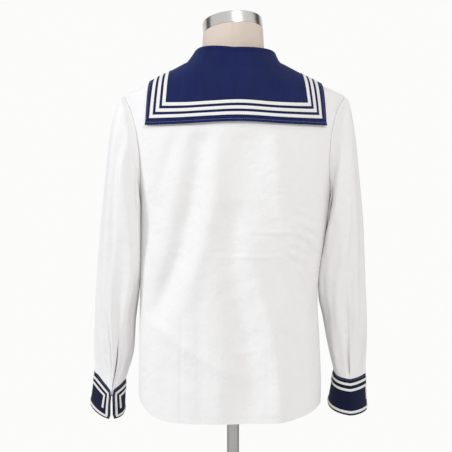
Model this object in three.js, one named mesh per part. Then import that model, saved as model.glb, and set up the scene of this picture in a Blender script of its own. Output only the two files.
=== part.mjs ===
// A white sailor jumper with a navy collar and cuffs, worn by a limbless dress form on a steel pole.
//
// Millimetres. +Z is up, the jumper's back faces -Y, its front +Y, and +X is the wearer's right.
// The origin is the centre of the stand's underside.
//
// The body is a stack of rings. A place on it is a height z and an angle: 0 is the wearer's left side,
// 90 degrees the centre of the back, 180 the wearer's right side and 270 the centre of the front.
// A sleeve's ring has an angle of its own: 0 is the underarm, 90 the back, 180 the outer side.
import * as THREE from "three";

// Driving sizes
const CLOTH = 1.6; // thickness of the twill
const TAPE = 1; // thickness of the sewn tape
const SEAM = 0.4; // between two pieces at a seam
const COLLAR_LIFT = 4.1; // from the body's face to the collar's own face
const TAPE_LIFT = 0.3; // from the collar's or cuff's face to the tape's underside
const FORM_LIFT = 3; // from the cloth's face to the form inside it, at the shoulders

// The shirt tails rise to the side seams: by rise * |x / width| ** power, to the left and to the right.
const HEM = { z: 596, leftRise: 43, leftPower: 8, rightRise: 30, rightPower: 4.2 };
const UNDERARM_Z = 1023;
const SHOULDER_Z = 1246;
const NECK_Z = 1316;
const NECK_SIDE_X = 82;
const NECKLINE_V_Z = 1118; // where the front neckline ends
const ARMHOLE_BACK = 22; // degrees that the armhole cuts into the back, and into the front
const ARMHOLE_FRONT = 24;

const BASE = { radius: 180, thick: 12, bossRadius: 24, bossTop: 40, socket: 12.9 };
const POLE_RADIUS = 12.5;
const NECK_CAP = { radius: 61.3, height: 24, x: 0.3, y: 0, z: 1376, tiltX: -9, tiltY: -5 };

const BODY_COLUMNS = 22;
const SLEEVE_COLUMNS = 32;
const ARMHOLE_STEPS = 8;
const FORM_COLUMNS = 26;

// Rings of the body, from the hem to the neckline: half widths, depths, and how square the ring is.
const BODY = table("z left right back front square", [
  [590, 192, 177, 106, 108, 2.6],
  [660, 192, 179, 108, 110, 2.6],
  [750, 191, 176, 110, 112, 2.6],
  [825, 190, 172, 112, 114, 2.5],
  [885, 190, 176, 115, 117, 2.5],
  [950, 190, 187, 119, 120, 2.45],
  [1020, 190, 197, 124, 122, 2.4],
  [1090, 196, 203, 127, 122, 2.3],
  [1160, 206, 210, 126, 116, 2.05],
  [1210, 215, 219, 118, 104, 1.75],
  [1246, 222, 228, 106, 88, 1.45],
  [1252, 211, 216.5, 103, 84.2, 1.5],
  [1262, 190, 193.5, 98, 78, 1.6],
  [1278, 158, 157, 91, 70, 1.7],
  [1294, 124, 125, 84, 64, 1.8],
  [1308, 97, 98, 77, 60, 1.9],
  [1316, 82, 83, 73, 58, 2.0],
]);

// The largest folds of the back: troughs where deep is above 0 and ridges where it is below.
const BACK_FOLDS = table("x z toX toZ wide deep", [
  [-80, 1130, -108, 1010, 17, 6],
  [-108, 1010, -158, 820, 19, 7],
  [-92, 1100, -150, 900, 15, -3],
  [-48, 1120, -88, 850, 22, -3],
  [-8, 1080, -4, 640, 34, 4],
  [62, 1150, 78, 940, 20, -3.5],
  [88, 1110, 150, 870, 16, -3.5],
  [60, 780, 66, 630, 20, -3],
  [128, 1120, 172, 1010, 13, 4],
]);
const FRONT_FOLDS = table("x z toX toZ wide deep", [
  [96, 1080, 140, 860, 19, 6],
  [-88, 1060, -138, 830, 18, 5.5],
  [20, 980, 8, 640, 34, 3.5],
  [-50, 900, -66, 660, 24, -3],
  [62, 880, 80, 650, 22, -3],
]);

// A sleeve's rings: the point at the outer side, the point at the inner side, half the depth, the middle.
const LEFT_SLEEVE = table("at outX outZ inX inZ deep y", [
  [0, -222, 1246, -190.5, 1023.4, 52, 0],
  [1, -232.5, 1238, -194.5, 1017, 62, 0],
  [2, -248, 1187, -195.5, 1002, 70, 1],
  [3, -256, 1130, -195.5, 977, 75, 2],
  [4, -264, 1054, -195.5, 935, 74, 4],
  [5, -272.6, 972, -195.5, 890, 69, 7],
  [6, -279, 890, -196.5, 845, 64, 11],
  [7, -285, 808, -200, 787, 57, 16],
  [8, -289, 738, -204, 718, 50, 21],
  [9, -288, 684.5, -220, 661.5, 42, 25],
]);
const RIGHT_SLEEVE = table("at outX outZ inX inZ deep y", [
  [0, 228, 1246, 197.5, 1023.4, 52, 0],
  [1, 238, 1232, 202, 1016, 62, 0],
  [2, 249, 1170, 202, 1002, 70, 1],
  [3, 256, 1100, 199.5, 975, 74, 2],
  [4, 264.5, 1013, 192.5, 940, 72, 4],
  [5, 270.6, 931, 184, 892, 67, 7],
  [6, 274.7, 850, 180, 838, 61, 10],
  [7, 278.6, 780, 186, 795, 55, 13],
  [8, 278.8, 730, 195, 740, 48, 17],
  [9, 275.6, 672.5, 208.4, 683.5, 42, 20],
]);

// How a sleeve falls into folds: troughs along it, from one ring to another, round the ring at an angle.
const LEFT_SLEEVE_FOLDS = table("at angle toAt toAngle wide deep", [
  [0.8, 66, 3.6, 40, 15, 6],
  [1.5, 112, 6.2, 96, 17, 4.5],
  [2.6, 150, 7, 135, 18, 3.5],
  [1, 300, 4.5, 322, 18, 5],
  [3, 235, 7.6, 250, 20, 3.5],
]);
const RIGHT_SLEEVE_FOLDS = table("at angle toAt toAngle wide deep", [
  [0.7, 62, 3.4, 30, 15, 6.5],
  [3.4, 60, 7.4, 34, 16, 4.5],
  [4.6, 118, 8.4, 92, 17, 4],
  [1, 305, 4.5, 325, 18, 5],
  [2.5, 215, 7, 235, 20, 3.5],
]);
const GATHERS = { count: 8, deep: 3.4, from: 7.1 }; // small pleats into the cuff

// A cuff's upper and lower rim: its centre, half width, half depth, and the rim's tilt, in degrees. skew is
// how far its back is moved towards the body, in millimetres. The last two say how square the back is,
// towards the body and away from it: 2 is an ellipse.
const LEFT_CUFF = table("at x y z wide deep tilt roll skew squareIn squareOut", [
  [0, -254.5, 25, 670, 33, 47, 36, 11, 6.5, 1.05, 1],
  [1, -265.5, 66, 597, 37, 50, 19, 7.5, 8, 1.9, 1.6],
]);
const RIGHT_CUFF = table("at x y z wide deep tilt roll skew squareIn squareOut", [
  [0, 241.7, 20, 678.7, 33.6, 42.3, 12.8, -6.6, 4.8, 2.4, 1.2],
  [1, 239.5, 38, 604.4, 41.6, 46, 14.6, -8.4, 1.4, 2.3, 1.4],
]);
const CUFF_HEIGHT = 76;
const CUFF_ROUND = 250; // the cuff's length round the wrist

// A cuff's rows and columns, in millimetres from its upper rim and from its end.
const CUFF_ROWS = [0, 8, 13.5, 20, 25.5, 40, 53, 66, 71.5, 76];
const CUFF_END_COLUMNS = [0, 5, 11, 17, 22.5];
const CUFF_MIDDLE_COLUMNS = 15;
const CUFF_TAPES = {
  outer: { top: [8, 13.5], bottom: [66, 71.5], end: [5, 11], endTo: 71.5 },
  inner: { top: [20, 25.5], bottom: null, end: [17, 22.5], endTo: 53 },
};

const SLIT = { from: 7.3, halfOpen: 2.2 }; // the sleeve's opening above the cuff, in rings and millimetres
const LEFT_SLIT = 78.75; // the angles at which the sleeves and cuffs open
const RIGHT_SLIT = 202.5;

// The collar: its lower edge, its side edges, and its lapels' meeting point.
const COLLAR = {
  cornerZ: 1178.5,
  arch: 3.6, // how much higher the middle of the lower edge is
  sag: 2.5, // how much lower all of that edge but its corners is
  leftX: 171,
  leftRidgeX: 167,
  rightX: 182,
  rightRidgeX: 177,
  lapelZ: 1020,
  standHeight: 17,
  leanLeft: 12, // how far the stand leans in towards the neck, at each side
  leanRight: 3,
};
// The collar's rows from its outer edge, at the edges of the tapes, and the last one before it rises.
const COLLAR_ROWS = [0, 12.2, 18.2, 23.8, 29.8, 35.2, 41.2, 47.5];
const COLLAR_TAPES = { outer: [12.2, 18.2], middle: [23.8, 29.8], inner: [35.2, 41.2] };
const LAPEL_COLUMNS = 8;
const SIDE_COLUMNS = 5;
const BACK_COLUMNS = 14;
const SIDE_NECK_ANGLE = 24; // degrees of the neckline that the collar's side takes

// The form inside: how far it lies within the body's rings, from its underside to the shoulders.
const FORM = table("z inset", [
  [652, 62],
  [656, 40],
  [668, 24],
  [700, 17],
  [780, 20],
  [885, 24],
  [1020, 14],
  [1160, 6],
  [1230, 3.6],
  [1246, 3],
  [1308, 3.1],
]);
const FORM_RING_Z = [652, 656, 668, 700, 760, 830, 900, 970, 1040, 1100, 1160, 1205, 1246, 1270, 1292, 1308];
// The form's neck: half width, half depth and middle.
const NECK = table("z wide deep y", [
  [1316, 77, 62, -7.2],
  [1325, 69.5, 60, -5.5],
  [1340, 64, 59, -3],
  [1376, 61.5, 61, 0],
]);

// Finishes
const WHITE = { color: 0xe9e8e6, roughness: 0.85, metalness: 0 };
const NAVY = { color: 0x1f2450, roughness: 0.85, metalness: 0 };
const TAPE_WHITE = { color: 0xf0ece4, roughness: 0.75, metalness: 0 };
const JERSEY = { color: 0xded0c4, roughness: 0.9, metalness: 0 };
const STEEL = { color: 0xb8b6b3, roughness: 0.3, metalness: 1 };

function table(names, rows) {
  const columns = names.split(" ");
  return rows.map((row) => Object.fromEntries(columns.map((name, i) => [name, row[i]])));
}

function rad(degrees) {
  return (degrees * Math.PI) / 180;
}

function mix(a, b, f) {
  return a + (b - a) * f;
}

function smooth(f) {
  const t = Math.min(Math.max(f, 0), 1);
  return t * t * (3 - 2 * t);
}

function sequence(count, make) {
  return Array.from({ length: count }, (_, i) => make(i));
}

// A table's row at any place along one of its columns, on a smooth curve through the rows.
function rowAt(rows, column, place) {
  const last = rows.length - 2;
  const next = rows.findIndex((row) => row[column] > place);
  const i = next < 0 ? last : Math.max(next - 1, 0);
  const [a, b] = [rows[Math.max(i - 1, 0)], rows[i]];
  const [c, d] = [rows[i + 1], rows[Math.min(i + 2, last + 1)]];
  const span = c[column] - b[column];
  const f = (place - b[column]) / span;
  const result = {};
  for (const name of Object.keys(b)) {
    const slopeB = ((c[name] - a[name]) / (c[column] - a[column])) * span;
    const slopeC = ((d[name] - b[name]) / (d[column] - b[column])) * span;
    const rise = c[name] - b[name];
    result[name] =
      b[name] + f * (slopeB + f * (3 * rise - 2 * slopeB - slopeC + f * (slopeB + slopeC - 2 * rise)));
  }
  return result;
}

// How deep the folds are at a place: each is a soft trough along a straight line that fades at its ends.
function foldDepth(folds, u, v, [uName, vName, toUName, toVName]) {
  let depth = 0;
  for (const fold of folds) {
    const [du, dv] = [fold[toUName] - fold[uName], fold[toVName] - fold[vName]];
    const along = ((u - fold[uName]) * du + (v - fold[vName]) * dv) / (du * du + dv * dv);
    const near = Math.min(Math.max(along, 0), 1);
    const [offU, offV] = [u - fold[uName] - near * du, v - fold[vName] - near * dv];
    const off = Math.hypot(offU, offV) / fold.wide;
    depth += fold.deep * Math.exp(-off * off) * (0.45 + 0.55 * Math.sin(Math.PI * near));
  }
  return depth;
}

// A point of the body's face.
function bodyPoint(z, angle, folded = true) {
  const ring = rowAt(BODY, "z", z);
  const power = 2 / ring.square;
  const [c, s] = [Math.cos(angle), Math.sin(angle)];
  const x = -Math.sign(c) * (c > 0 ? ring.left : ring.right) * Math.abs(c) ** power;
  let y = -Math.sign(s) * (s > 0 ? ring.back : ring.front) * Math.abs(s) ** power;
  if (folded) {
    const folds = s > 0 ? BACK_FOLDS : FRONT_FOLDS;
    const fade = smooth((1172 - z) / 50) * smooth(Math.abs(s) * 2.2);
    y += Math.sign(s) * fade * foldDepth(folds, x, z, ["x", "z", "toX", "toZ"]);
  }
  return new THREE.Vector3(x, y, z);
}

// The direction that the body's face looks in.
function bodyNormal(z, angle) {
  const across = bodyPoint(z, angle + 0.01, false).sub(bodyPoint(z, angle - 0.01, false));
  const up = bodyPoint(z + 0.5, angle, false).sub(bodyPoint(z - 0.5, angle, false));
  return across.cross(up).normalize();
}

// A point that stands off the body's face.
function offBody(z, angle, lift) {
  return bodyPoint(z, angle, false).addScaledVector(bodyNormal(z, angle), lift);
}

// The body's angle at a distance x from its middle, on the back or on the front.
function angleAt(x, z, back) {
  const ring = rowAt(BODY, "z", z);
  const share = Math.min(Math.abs(x) / (x < 0 ? ring.left : ring.right), 1);
  const turn = Math.acos(share ** (ring.square / 2));
  if (x < 0) return back ? turn : -turn;
  return back ? Math.PI - turn : Math.PI + turn;
}

// The height of the shoulder's ridge at a distance x from the middle.
function ridgeZ(x) {
  let [low, high] = [SHOULDER_Z, NECK_Z];
  for (let i = 0; i < 30; i++) {
    const middle = (low + high) / 2;
    const ring = rowAt(BODY, "z", middle);
    if ((x < 0 ? ring.left : ring.right) > Math.abs(x)) low = middle;
    else high = middle;
  }
  return low;
}

// Cells of four corners between the points of a grid, joined to others where their points coincide.
function skin(...grids) {
  const [points, cells, index] = [[], [], new Map()];
  const place = (point) => {
    const key = point.toArray().map((value) => Math.round(value * 1000)).join();
    if (!index.has(key)) index.set(key, points.push(point) - 1);
    return index.get(key);
  };
  for (const grid of grids) {
    const ids = grid.map((row) => row.map(place));
    for (let r = 0; r + 1 < ids.length; r++)
      for (let c = 0; c + 1 < ids[r].length; c++)
        cells.push({ row: r, column: c, ids: [ids[r][c], ids[r][c + 1], ids[r + 1][c + 1], ids[r + 1][c]] });
  }
  const normals = points.map(() => new THREE.Vector3());
  for (const [i, j, k] of cells.flatMap(cellTriangles)) {
    const face = points[j].clone().sub(points[i]).cross(points[k].clone().sub(points[i]));
    for (const id of [i, j, k]) normals[id].add(face);
  }
  normals.forEach((normal) => normal.normalize());
  return { points, cells, normals };
}

function cellTriangles({ ids: [a, b, c, d] }) {
  return [[a, b, c], [a, c, d]].filter(([i, j, k]) => i !== j && j !== k && k !== i);
}

// The closed wall over a skin's cells, between two heights above it.
function wall({ points, cells, normals }, low, high, keep = () => true) {
  const faces = cells.filter(keep).flatMap(cellTriangles);
  const edges = new Set();
  for (const [i, j, k] of faces) for (const edge of [[i, j], [j, k], [k, i]]) edges.add(edge.join());
  const upper = (i) => 2 * i;
  const under = (i) => 2 * i + 1;
  const triangles = [];
  for (const [i, j, k] of faces) {
    triangles.push([upper(i), upper(j), upper(k)], [under(i), under(k), under(j)]);
    for (const [a, b] of [[i, j], [j, k], [k, i]])
      if (!edges.has([b, a].join()))
        triangles.push([upper(b), upper(a), under(a)], [upper(b), under(a), under(b)]);
  }
  const corners = points.flatMap((point, i) => [
    point.clone().addScaledVector(normals[i], high),
    point.clone().addScaledVector(normals[i], low),
  ]);
  return solid(corners, triangles);
}

// At the side and shoulder seams a panel's edge is cut square, in the plane between front and back.
function squareSeams(made) {
  made.points.forEach((point, i) => {
    if (Math.abs(point.y) < SEAM) made.normals[i].setY(0).normalize();
  });
  return made;
}

function solid(corners, triangles) {
  const used = [...new Set(triangles.flat())];
  const renumbered = new Map(used.map((old, i) => [old, i]));
  return new THREE.BufferGeometry()
    .setAttribute("position", new THREE.Float32BufferAttribute(used.flatMap((i) => corners[i].toArray()), 3))
    .setIndex(triangles.flat().map((i) => renumbered.get(i)));
}

// The solid through rings of equally many points, closed by a flat fan at each end.
function loft(rings) {
  const count = rings[0].length;
  const corners = rings.flat();
  const middle = (ring) => ring.reduce((sum, p) => sum.add(p), new THREE.Vector3()).divideScalar(count);
  const first = corners.push(middle(rings[0])) - 1;
  const last = corners.push(middle(rings.at(-1))) - 1;
  const triangles = [];
  for (let i = 0; i < count; i++) {
    const j = (i + 1) % count;
    triangles.push([first, j, i], [last, (rings.length - 1) * count + i, (rings.length - 1) * count + j]);
    for (let r = 0; r + 1 < rings.length; r++) {
      const [a, b] = [r * count + i, r * count + j];
      triangles.push([a, b, b + count], [a, b + count, a + count]);
    }
  }
  return solid(corners, triangles);
}

// The armhole's edge: the height and the body's angle, measured from the side, at a sleeve angle.
function armhole(angle) {
  const s = Math.sin(angle);
  return {
    z: mix(UNDERARM_Z, SHOULDER_Z, (1 - Math.cos(angle)) / 2),
    turn: rad(s > 0 ? ARMHOLE_BACK : ARMHOLE_FRONT) * s,
  };
}

// The body angle at which the side seam or the shoulder seam leaves half its gap.
function seamTurn(z, depthName) {
  const ring = rowAt(BODY, "z", z);
  return (SEAM / 2 / ring[depthName]) ** (ring.square / 2);
}

function hemZ(angle) {
  const ring = rowAt(BODY, "z", HEM.z);
  const share = Math.abs(Math.cos(angle)) ** (2 / ring.square);
  const left = Math.cos(angle) > 0;
  return HEM.z + (left ? HEM.leftRise : HEM.rightRise) * share ** (left ? HEM.leftPower : HEM.rightPower);
}

// The body's rows: each gives, at a share across, the height, and how far the armhole cuts in.
function bodyRows() {
  const lower = [0, 0.09, 0.2, 0.31, 0.42, 0.53, 0.64, 0.75, 0.87, 1];
  const yoke = [1253, 1262, 1270, 1278, 1286, 1294, 1301, 1308, NECK_Z];
  return [
    ...lower.map((f) => ({ z: (angle) => mix(hemZ(angle), UNDERARM_Z, f), sleeve: 0 })),
    ...sequence(ARMHOLE_STEPS, (i) => {
      const sleeve = (Math.PI * (i + 1)) / ARMHOLE_STEPS;
      return { z: () => armhole(sleeve).z, sleeve };
    }),
    ...yoke.map((z) => ({ z: () => z, sleeve: 0 })),
  ];
}

function backPanel() {
  const grid = bodyRows().map(({ z, sleeve }) => {
    const cut = rad(ARMHOLE_BACK) * Math.sin(sleeve);
    return sequence(BODY_COLUMNS + 1, (i) => {
      const start = Math.max(seamTurn(z(0), "back"), cut);
      const angle = mix(start, Math.PI - start, i / BODY_COLUMNS);
      return bodyPoint(z(angle), angle);
    });
  });
  return wall(squareSeams(skin(grid)), -CLOTH, 0);
}

// Half the front neckline's width at a height.
function necklineX(z) {
  return NECK_SIDE_X * Math.max((z - NECKLINE_V_Z) / (NECK_Z - NECKLINE_V_Z), 0);
}

// The front is two half grids, from the side to the centre or to the neckline's slanting edge.
function frontPanel() {
  const half = (side) =>
    bodyRows().map(({ z, sleeve }) => {
      const start = Math.max(seamTurn(z(0), "front"), rad(ARMHOLE_FRONT) * Math.sin(sleeve));
      const neckX = necklineX(z(0));
      const ring = rowAt(BODY, "z", z(0));
      const width = side < 0 ? ring.left : ring.right;
      const end = Math.max(Math.acos(Math.min(neckX / width, 1) ** (ring.square / 2)), start);
      return sequence(BODY_COLUMNS / 2 + 1, (i) => {
        const turn = mix(start, end, i / (BODY_COLUMNS / 2));
        const angle = side < 0 ? -turn : Math.PI + turn;
        return bodyPoint(z(angle), angle);
      });
    });
  const left = half(-1).map((row) => row.reverse());
  return wall(squareSeams(skin(left, half(1))), -CLOTH, 0);
}

// A sleeve's ring without its joins: an ellipse through its outer and inner point.
function plainSleeve(stations, at, angle) {
  const ring = rowAt(stations, "at", at);
  const [c, s] = [Math.cos(angle), Math.sin(angle)];
  return new THREE.Vector3(
    (ring.outX + ring.inX) / 2 - ((ring.outX - ring.inX) / 2) * c,
    ring.y - ring.deep * s,
    (ring.outZ + ring.inZ) / 2 - ((ring.outZ - ring.inZ) / 2) * c,
  );
}

// The sleeve's first ring: a seam's gap outside the straight edges between the panels' armhole points.
function armholePoint(side, angle) {
  const step = Math.PI / ARMHOLE_STEPS;
  const from = Math.floor(angle / step + 1e-6) * step;
  const edge = (sleeve) => {
    const { z, turn } = armhole(sleeve);
    const s = Math.sin(sleeve);
    const gap = seamTurn(z, s > 0 ? "back" : "front");
    const angleOnBody = s >= 0 ? Math.max(turn, 0) : Math.min(turn, 0);
    const turned = Math.abs(s) < 1e-6 ? 0 : Math.sign(angleOnBody) * Math.max(Math.abs(angleOnBody), gap);
    return bodyPoint(z, side < 0 ? turned : Math.PI - turned);
  };
  const point = edge(from).lerp(edge(from + step), (angle - from) / step);
  const out = new THREE.Vector3(side * SEAM, 0, Math.cos(angle) > 0.9 ? SEAM : 0);
  return point.add(out);
}

function sleevePoint(side, at, angle) {
  const { stations, cuff, folds } = side < 0 ? LEFT : RIGHT;
  const point = plainSleeve(stations, at, angle);
  const fromBody = Math.max(1 - at / 3.2, 0) ** 2;
  point.addScaledVector(armholePoint(side, angle).sub(plainSleeve(stations, 0, angle)), fromBody);
  const toCuff = smooth((at - 6.2) / 2.8);
  const rim = cuffPoint(cuff, -SEAM - 0.2, angle);
  point.addScaledVector(rim.sub(plainSleeve(stations, 9, angle)), toCuff);
  const degrees = (angle * 180) / Math.PI;
  const names = ["at", "angle", "toAt", "toAngle"];
  const scaled = folds.map((fold) => ({ ...fold, at: fold.at * 30, toAt: fold.toAt * 30 }));
  const fade = smooth(at - 0.2) * smooth(9 - at);
  const pleat = GATHERS.deep * smooth((at - GATHERS.from) / 1.4) * (1 - 0.8 * smooth((at - 8.5) / 0.5));
  const inward =
    fade * foldDepth(scaled, at * 30, degrees, names) + pleat * (0.5 - 0.5 * Math.cos(GATHERS.count * angle));
  const middle = plainSleeve(stations, at, 0).lerp(plainSleeve(stations, at, Math.PI), 0.5);
  const radius = point.distanceTo(middle);
  return point.lerp(middle, inward / radius);
}

// Angles round a sleeve from its opening and back to it, with half the opening left at each end.
function openRound(slit, halfOpen, share) {
  return rad(slit) + halfOpen + (2 * Math.PI - 2 * halfOpen) * share;
}

function positive(angle) {
  const turn = angle % (2 * Math.PI);
  return turn < -1e-9 ? turn + 2 * Math.PI : Math.max(turn, 0);
}

function sleeve(side) {
  const { slit } = side < 0 ? LEFT : RIGHT;
  const rows = [0, 0.5, 1, 1.6, 2.2, 2.9, 3.6, 4.4, 5.2, 6, 6.7, 7.3, 7.8, 8.3, 8.7, 9];
  const grid = rows.map((at) => {
    const halfOpen = (SLIT.halfOpen / 45) * smooth((at - SLIT.from) / 1.2);
    const row = sequence(SLEEVE_COLUMNS + 1, (i) => {
      const angle = openRound(slit, halfOpen, i / SLEEVE_COLUMNS);
      return sleevePoint(side, at, positive(angle));
    });
    return side < 0 ? row : row.reverse();
  });
  return wall(skin(grid), -CLOTH, 0);
}

// A point of the cuff's face, at a distance down from its upper rim and an angle round it.
function cuffPoint(cuff, down, angle) {
  const share = down / CUFF_HEIGHT;
  const [top, bottom] = cuff;
  const rim = Object.fromEntries(Object.keys(top).map((name) => [name, mix(top[name], bottom[name], share)]));
  const [c, s] = [Math.cos(angle), Math.sin(angle)];
  const square = s < 0 ? 2.1 : c > 0 ? rim.squareIn : rim.squareOut;
  const across = Math.sign(c) * Math.abs(c) ** (2 / square) * rim.wide;
  const deep = Math.sign(s) * Math.abs(s) ** (2 / square) * rim.deep;
  const side = Math.sign(rim.x);
  const [tilt, roll] = [rad(rim.tilt), rad(rim.roll)];
  return new THREE.Vector3(
    rim.x - side * (across * Math.cos(roll) + rim.skew * s),
    rim.y - deep * Math.cos(tilt),
    rim.z - deep * Math.sin(tilt) - across * Math.sin(roll),
  );
}

// The cuff's columns, in millimetres from its first end.
function cuffColumns() {
  const last = CUFF_END_COLUMNS.at(-1);
  const middle = sequence(CUFF_MIDDLE_COLUMNS - 1, (i) =>
    mix(last, CUFF_ROUND - last, (i + 1) / CUFF_MIDDLE_COLUMNS),
  );
  return [...CUFF_END_COLUMNS, ...middle, ...CUFF_END_COLUMNS.map((u) => CUFF_ROUND - u).reverse()];
}

// Half the gap between a cuff's ends, wide at its rounded corners.
function cuffHalfGap(down) {
  return 2.4 + 4.6 * smooth(1 - down / 18) + 2.6 * smooth((down - 64) / 12);
}

// One row of a cuff's face: a function that gives its point at a length from the cuff's first end. The row's
// line is measured in 720 steps, so that equal lengths are equal all round it.
function cuffRow({ cuff, slit }, down) {
  const line = sequence(721, (i) => cuffPoint(cuff, down, positive(rad(slit + i / 2))));
  const lengths = [0];
  for (let i = 1; i < line.length; i++) lengths.push(lengths[i - 1] + line[i].distanceTo(line[i - 1]));
  const gap = cuffHalfGap(down);
  return (u) => {
    const at = mix(gap, lengths.at(-1) - gap, u / CUFF_ROUND);
    const i = lengths.findIndex((length) => length > at);
    return line[i - 1].clone().lerp(line[i], (at - lengths[i - 1]) / (lengths[i] - lengths[i - 1]));
  };
}

function cuffSkin(side) {
  const grid = CUFF_ROWS.map((down) => {
    const row = cuffColumns().map(cuffRow(side < 0 ? LEFT : RIGHT, down));
    return side < 0 ? row : row.reverse();
  });
  return skin(grid);
}

function cuffTape(side, { top, bottom, end, endTo }) {
  const columns = cuffColumns();
  const within = (value, [low, high]) => value >= low - 0.01 && value < high - 0.01;
  return wall(cuffSkin(side), TAPE_LIFT, TAPE_LIFT + TAPE, ({ row, column }) => {
    const down = CUFF_ROWS[row];
    const u = Math.min(columns[column], CUFF_ROUND - columns[column + 1]);
    const inEnd = within(u, end) && down >= top[0] - 0.01 && down < endTo - 0.01;
    const inBand = within(down, top) || (bottom !== null && within(down, bottom));
    return inEnd || (inBand && u >= end[0] - 0.01);
  });
}

// How far inside the collar's side edge a row lies, seen from the back: less where the cloth curves away.
function sideInset(d, side) {
  return side < 0 ? 1.1 * d - 5 * (1 - Math.exp(-d / 6)) : 0.82 * d + 0.0021 * d * d;
}

// Where a collar row crosses a column: the height and angle on the body. A row is a distance d inside the
// outer edge and then a share f of the way from the last such row to the neckline.
function collarPlace(d, f, { zone, side, share }) {
  const neckX = NECK_SIDE_X * Math.cos(rad(SIDE_NECK_ANGLE));
  const cornerX = (way) => mix((way < 0 ? COLLAR.leftX : COLLAR.rightX) - sideInset(d, way), neckX, f);
  const cornerZ = mix(COLLAR.cornerZ + d, NECK_Z, f);
  if (zone === "back") {
    const x = mix(-cornerX(-1), cornerX(1), share);
    const bend = COLLAR.arch * Math.sin(Math.PI * share) ** 5 - COLLAR.sag * (1 - (2 * share - 1) ** 6);
    const z = cornerZ + bend * (1 - f);
    return { z, angle: angleAt(x, z, true) };
  }
  const ridgeX = mix((side < 0 ? COLLAR.leftRidgeX : COLLAR.rightRidgeX) - 1.02 * d, NECK_SIDE_X, f);
  const topZ = ridgeZ(side * ridgeX);
  if (zone === "side") {
    if (share > 0.999) return { z: topZ, angle: side < 0 ? 0 : Math.PI };
    const x = side * mix(cornerX(side), ridgeX, share);
    const z = mix(cornerZ, topZ, 1 - (1 - share) ** 2);
    return { z, angle: angleAt(x, z, true) };
  }
  const slope = COLLAR.leftRidgeX / Math.hypot(COLLAR.leftRidgeX, 1272 - COLLAR.lapelZ);
  const endZ = mix(COLLAR.lapelZ + d / slope, NECKLINE_V_Z, f);
  const forward = share ** 1.7;
  const x = side * mix(ridgeX, 0.35, forward);
  const z = mix(topZ, endZ, forward);
  return { z, angle: angleAt(x, z, false) };
}

// The collar's columns, from the left lapel's end round the neck to the right lapel's end.
function collarColumns() {
  const shares = (count, from) => sequence(count, (i) => (i + from) / count);
  const column = (zone, side) => (share) => ({ zone, side, share });
  return [
    ...shares(LAPEL_COLUMNS, 1).reverse().map(column("lapel", -1)),
    ...shares(SIDE_COLUMNS, 1).reverse().map(column("side", -1)),
    ...shares(BACK_COLUMNS + 1, 0).map((share) => (share * (BACK_COLUMNS + 1)) / BACK_COLUMNS).map(column("back", 0)),
    ...shares(SIDE_COLUMNS, 1).map(column("side", 1)),
    ...shares(LAPEL_COLUMNS, 1).map(column("lapel", 1)),
  ];
}

// The collar's face at one column: the rows on the body, then the roll over to the neckline seam.
function collarColumn(column) {
  const last = COLLAR_ROWS.at(-1);
  const onBody = (d, f, lift) => {
    const { z, angle } = collarPlace(d, f, column);
    return offBody(z, angle, lift);
  };
  const between = (f) => onBody(last, f, COLLAR_LIFT);
  const edge = collarPlace(last, 1, column);
  const seam = onBody(last, 1, 0);
  const standing = column.zone === "lapel" ? 1 - smooth((column.share - 0.12) / 0.75) : 1;
  const normal = bodyNormal(edge.z, edge.angle);
  const inward = normal.clone().cross(neckTangent(column)).normalize();
  const up = normal.clone().lerp(new THREE.Vector3(0, 0, 1), 0.6 * standing).normalize();
  const height = COLLAR.standHeight;
  const toSide = Math.abs(Math.cos(edge.angle));
  const lean = (Math.cos(edge.angle) > 0 ? COLLAR.leanLeft : COLLAR.leanRight) * toSide * standing;
  const fromSeam = (e, k) =>
    seam.clone().addScaledVector(inward, e + (lean * Math.max(k, 0)) / height).addScaledVector(up, k);
  const rising = [
    [0.2, 0.1],
    [0.4, 0.2],
    [0.58, 0.3],
    [0.74, 0.4],
  ];
  const roll = [
    [fromSeam(-7.5, 0.7 * height), between(0.52)],
    [fromSeam(-4, 0.97 * height), between(0.64)],
    [fromSeam(0.2, height), between(0.77)],
    [fromSeam(2.8, 0.62 * height), between(0.9)],
    [fromSeam(2.4, -0.2), fromSeam(2.4, COLLAR_LIFT)],
  ];
  return [
    ...COLLAR_ROWS.map((d) => onBody(d, 0, COLLAR_LIFT)),
    ...rising.map(([stood, flat]) => between(mix(flat, stood, standing))),
    ...roll.map(([stood, flat]) => flat.lerp(stood, standing)),
  ];
}

// The direction of the neckline at a column, towards the wearer's right along the back.
function neckTangent({ zone, side, share }) {
  const step = 0.02;
  const pointAt = (moved) => {
    const { z, angle } = collarPlace(COLLAR_ROWS.at(-1), 1, { zone, side, share: moved });
    return bodyPoint(z, angle, false);
  };
  const way = pointAt(Math.min(share + step, 0.998)).sub(pointAt(Math.max(share - step, 0))).normalize();
  return zone !== "back" && side < 0 ? way.negate() : way;
}

function collarSkin() {
  const columns = collarColumns();
  const made = columns.map((column) =>
    collarColumn(column).map((point) => {
      if (column.zone === "lapel") point.x = column.side * Math.max(column.side * point.x, 0.35);
      return point;
    }),
  );
  return skin(made[0].map((_, row) => made.map((column) => column[row])));
}

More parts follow.
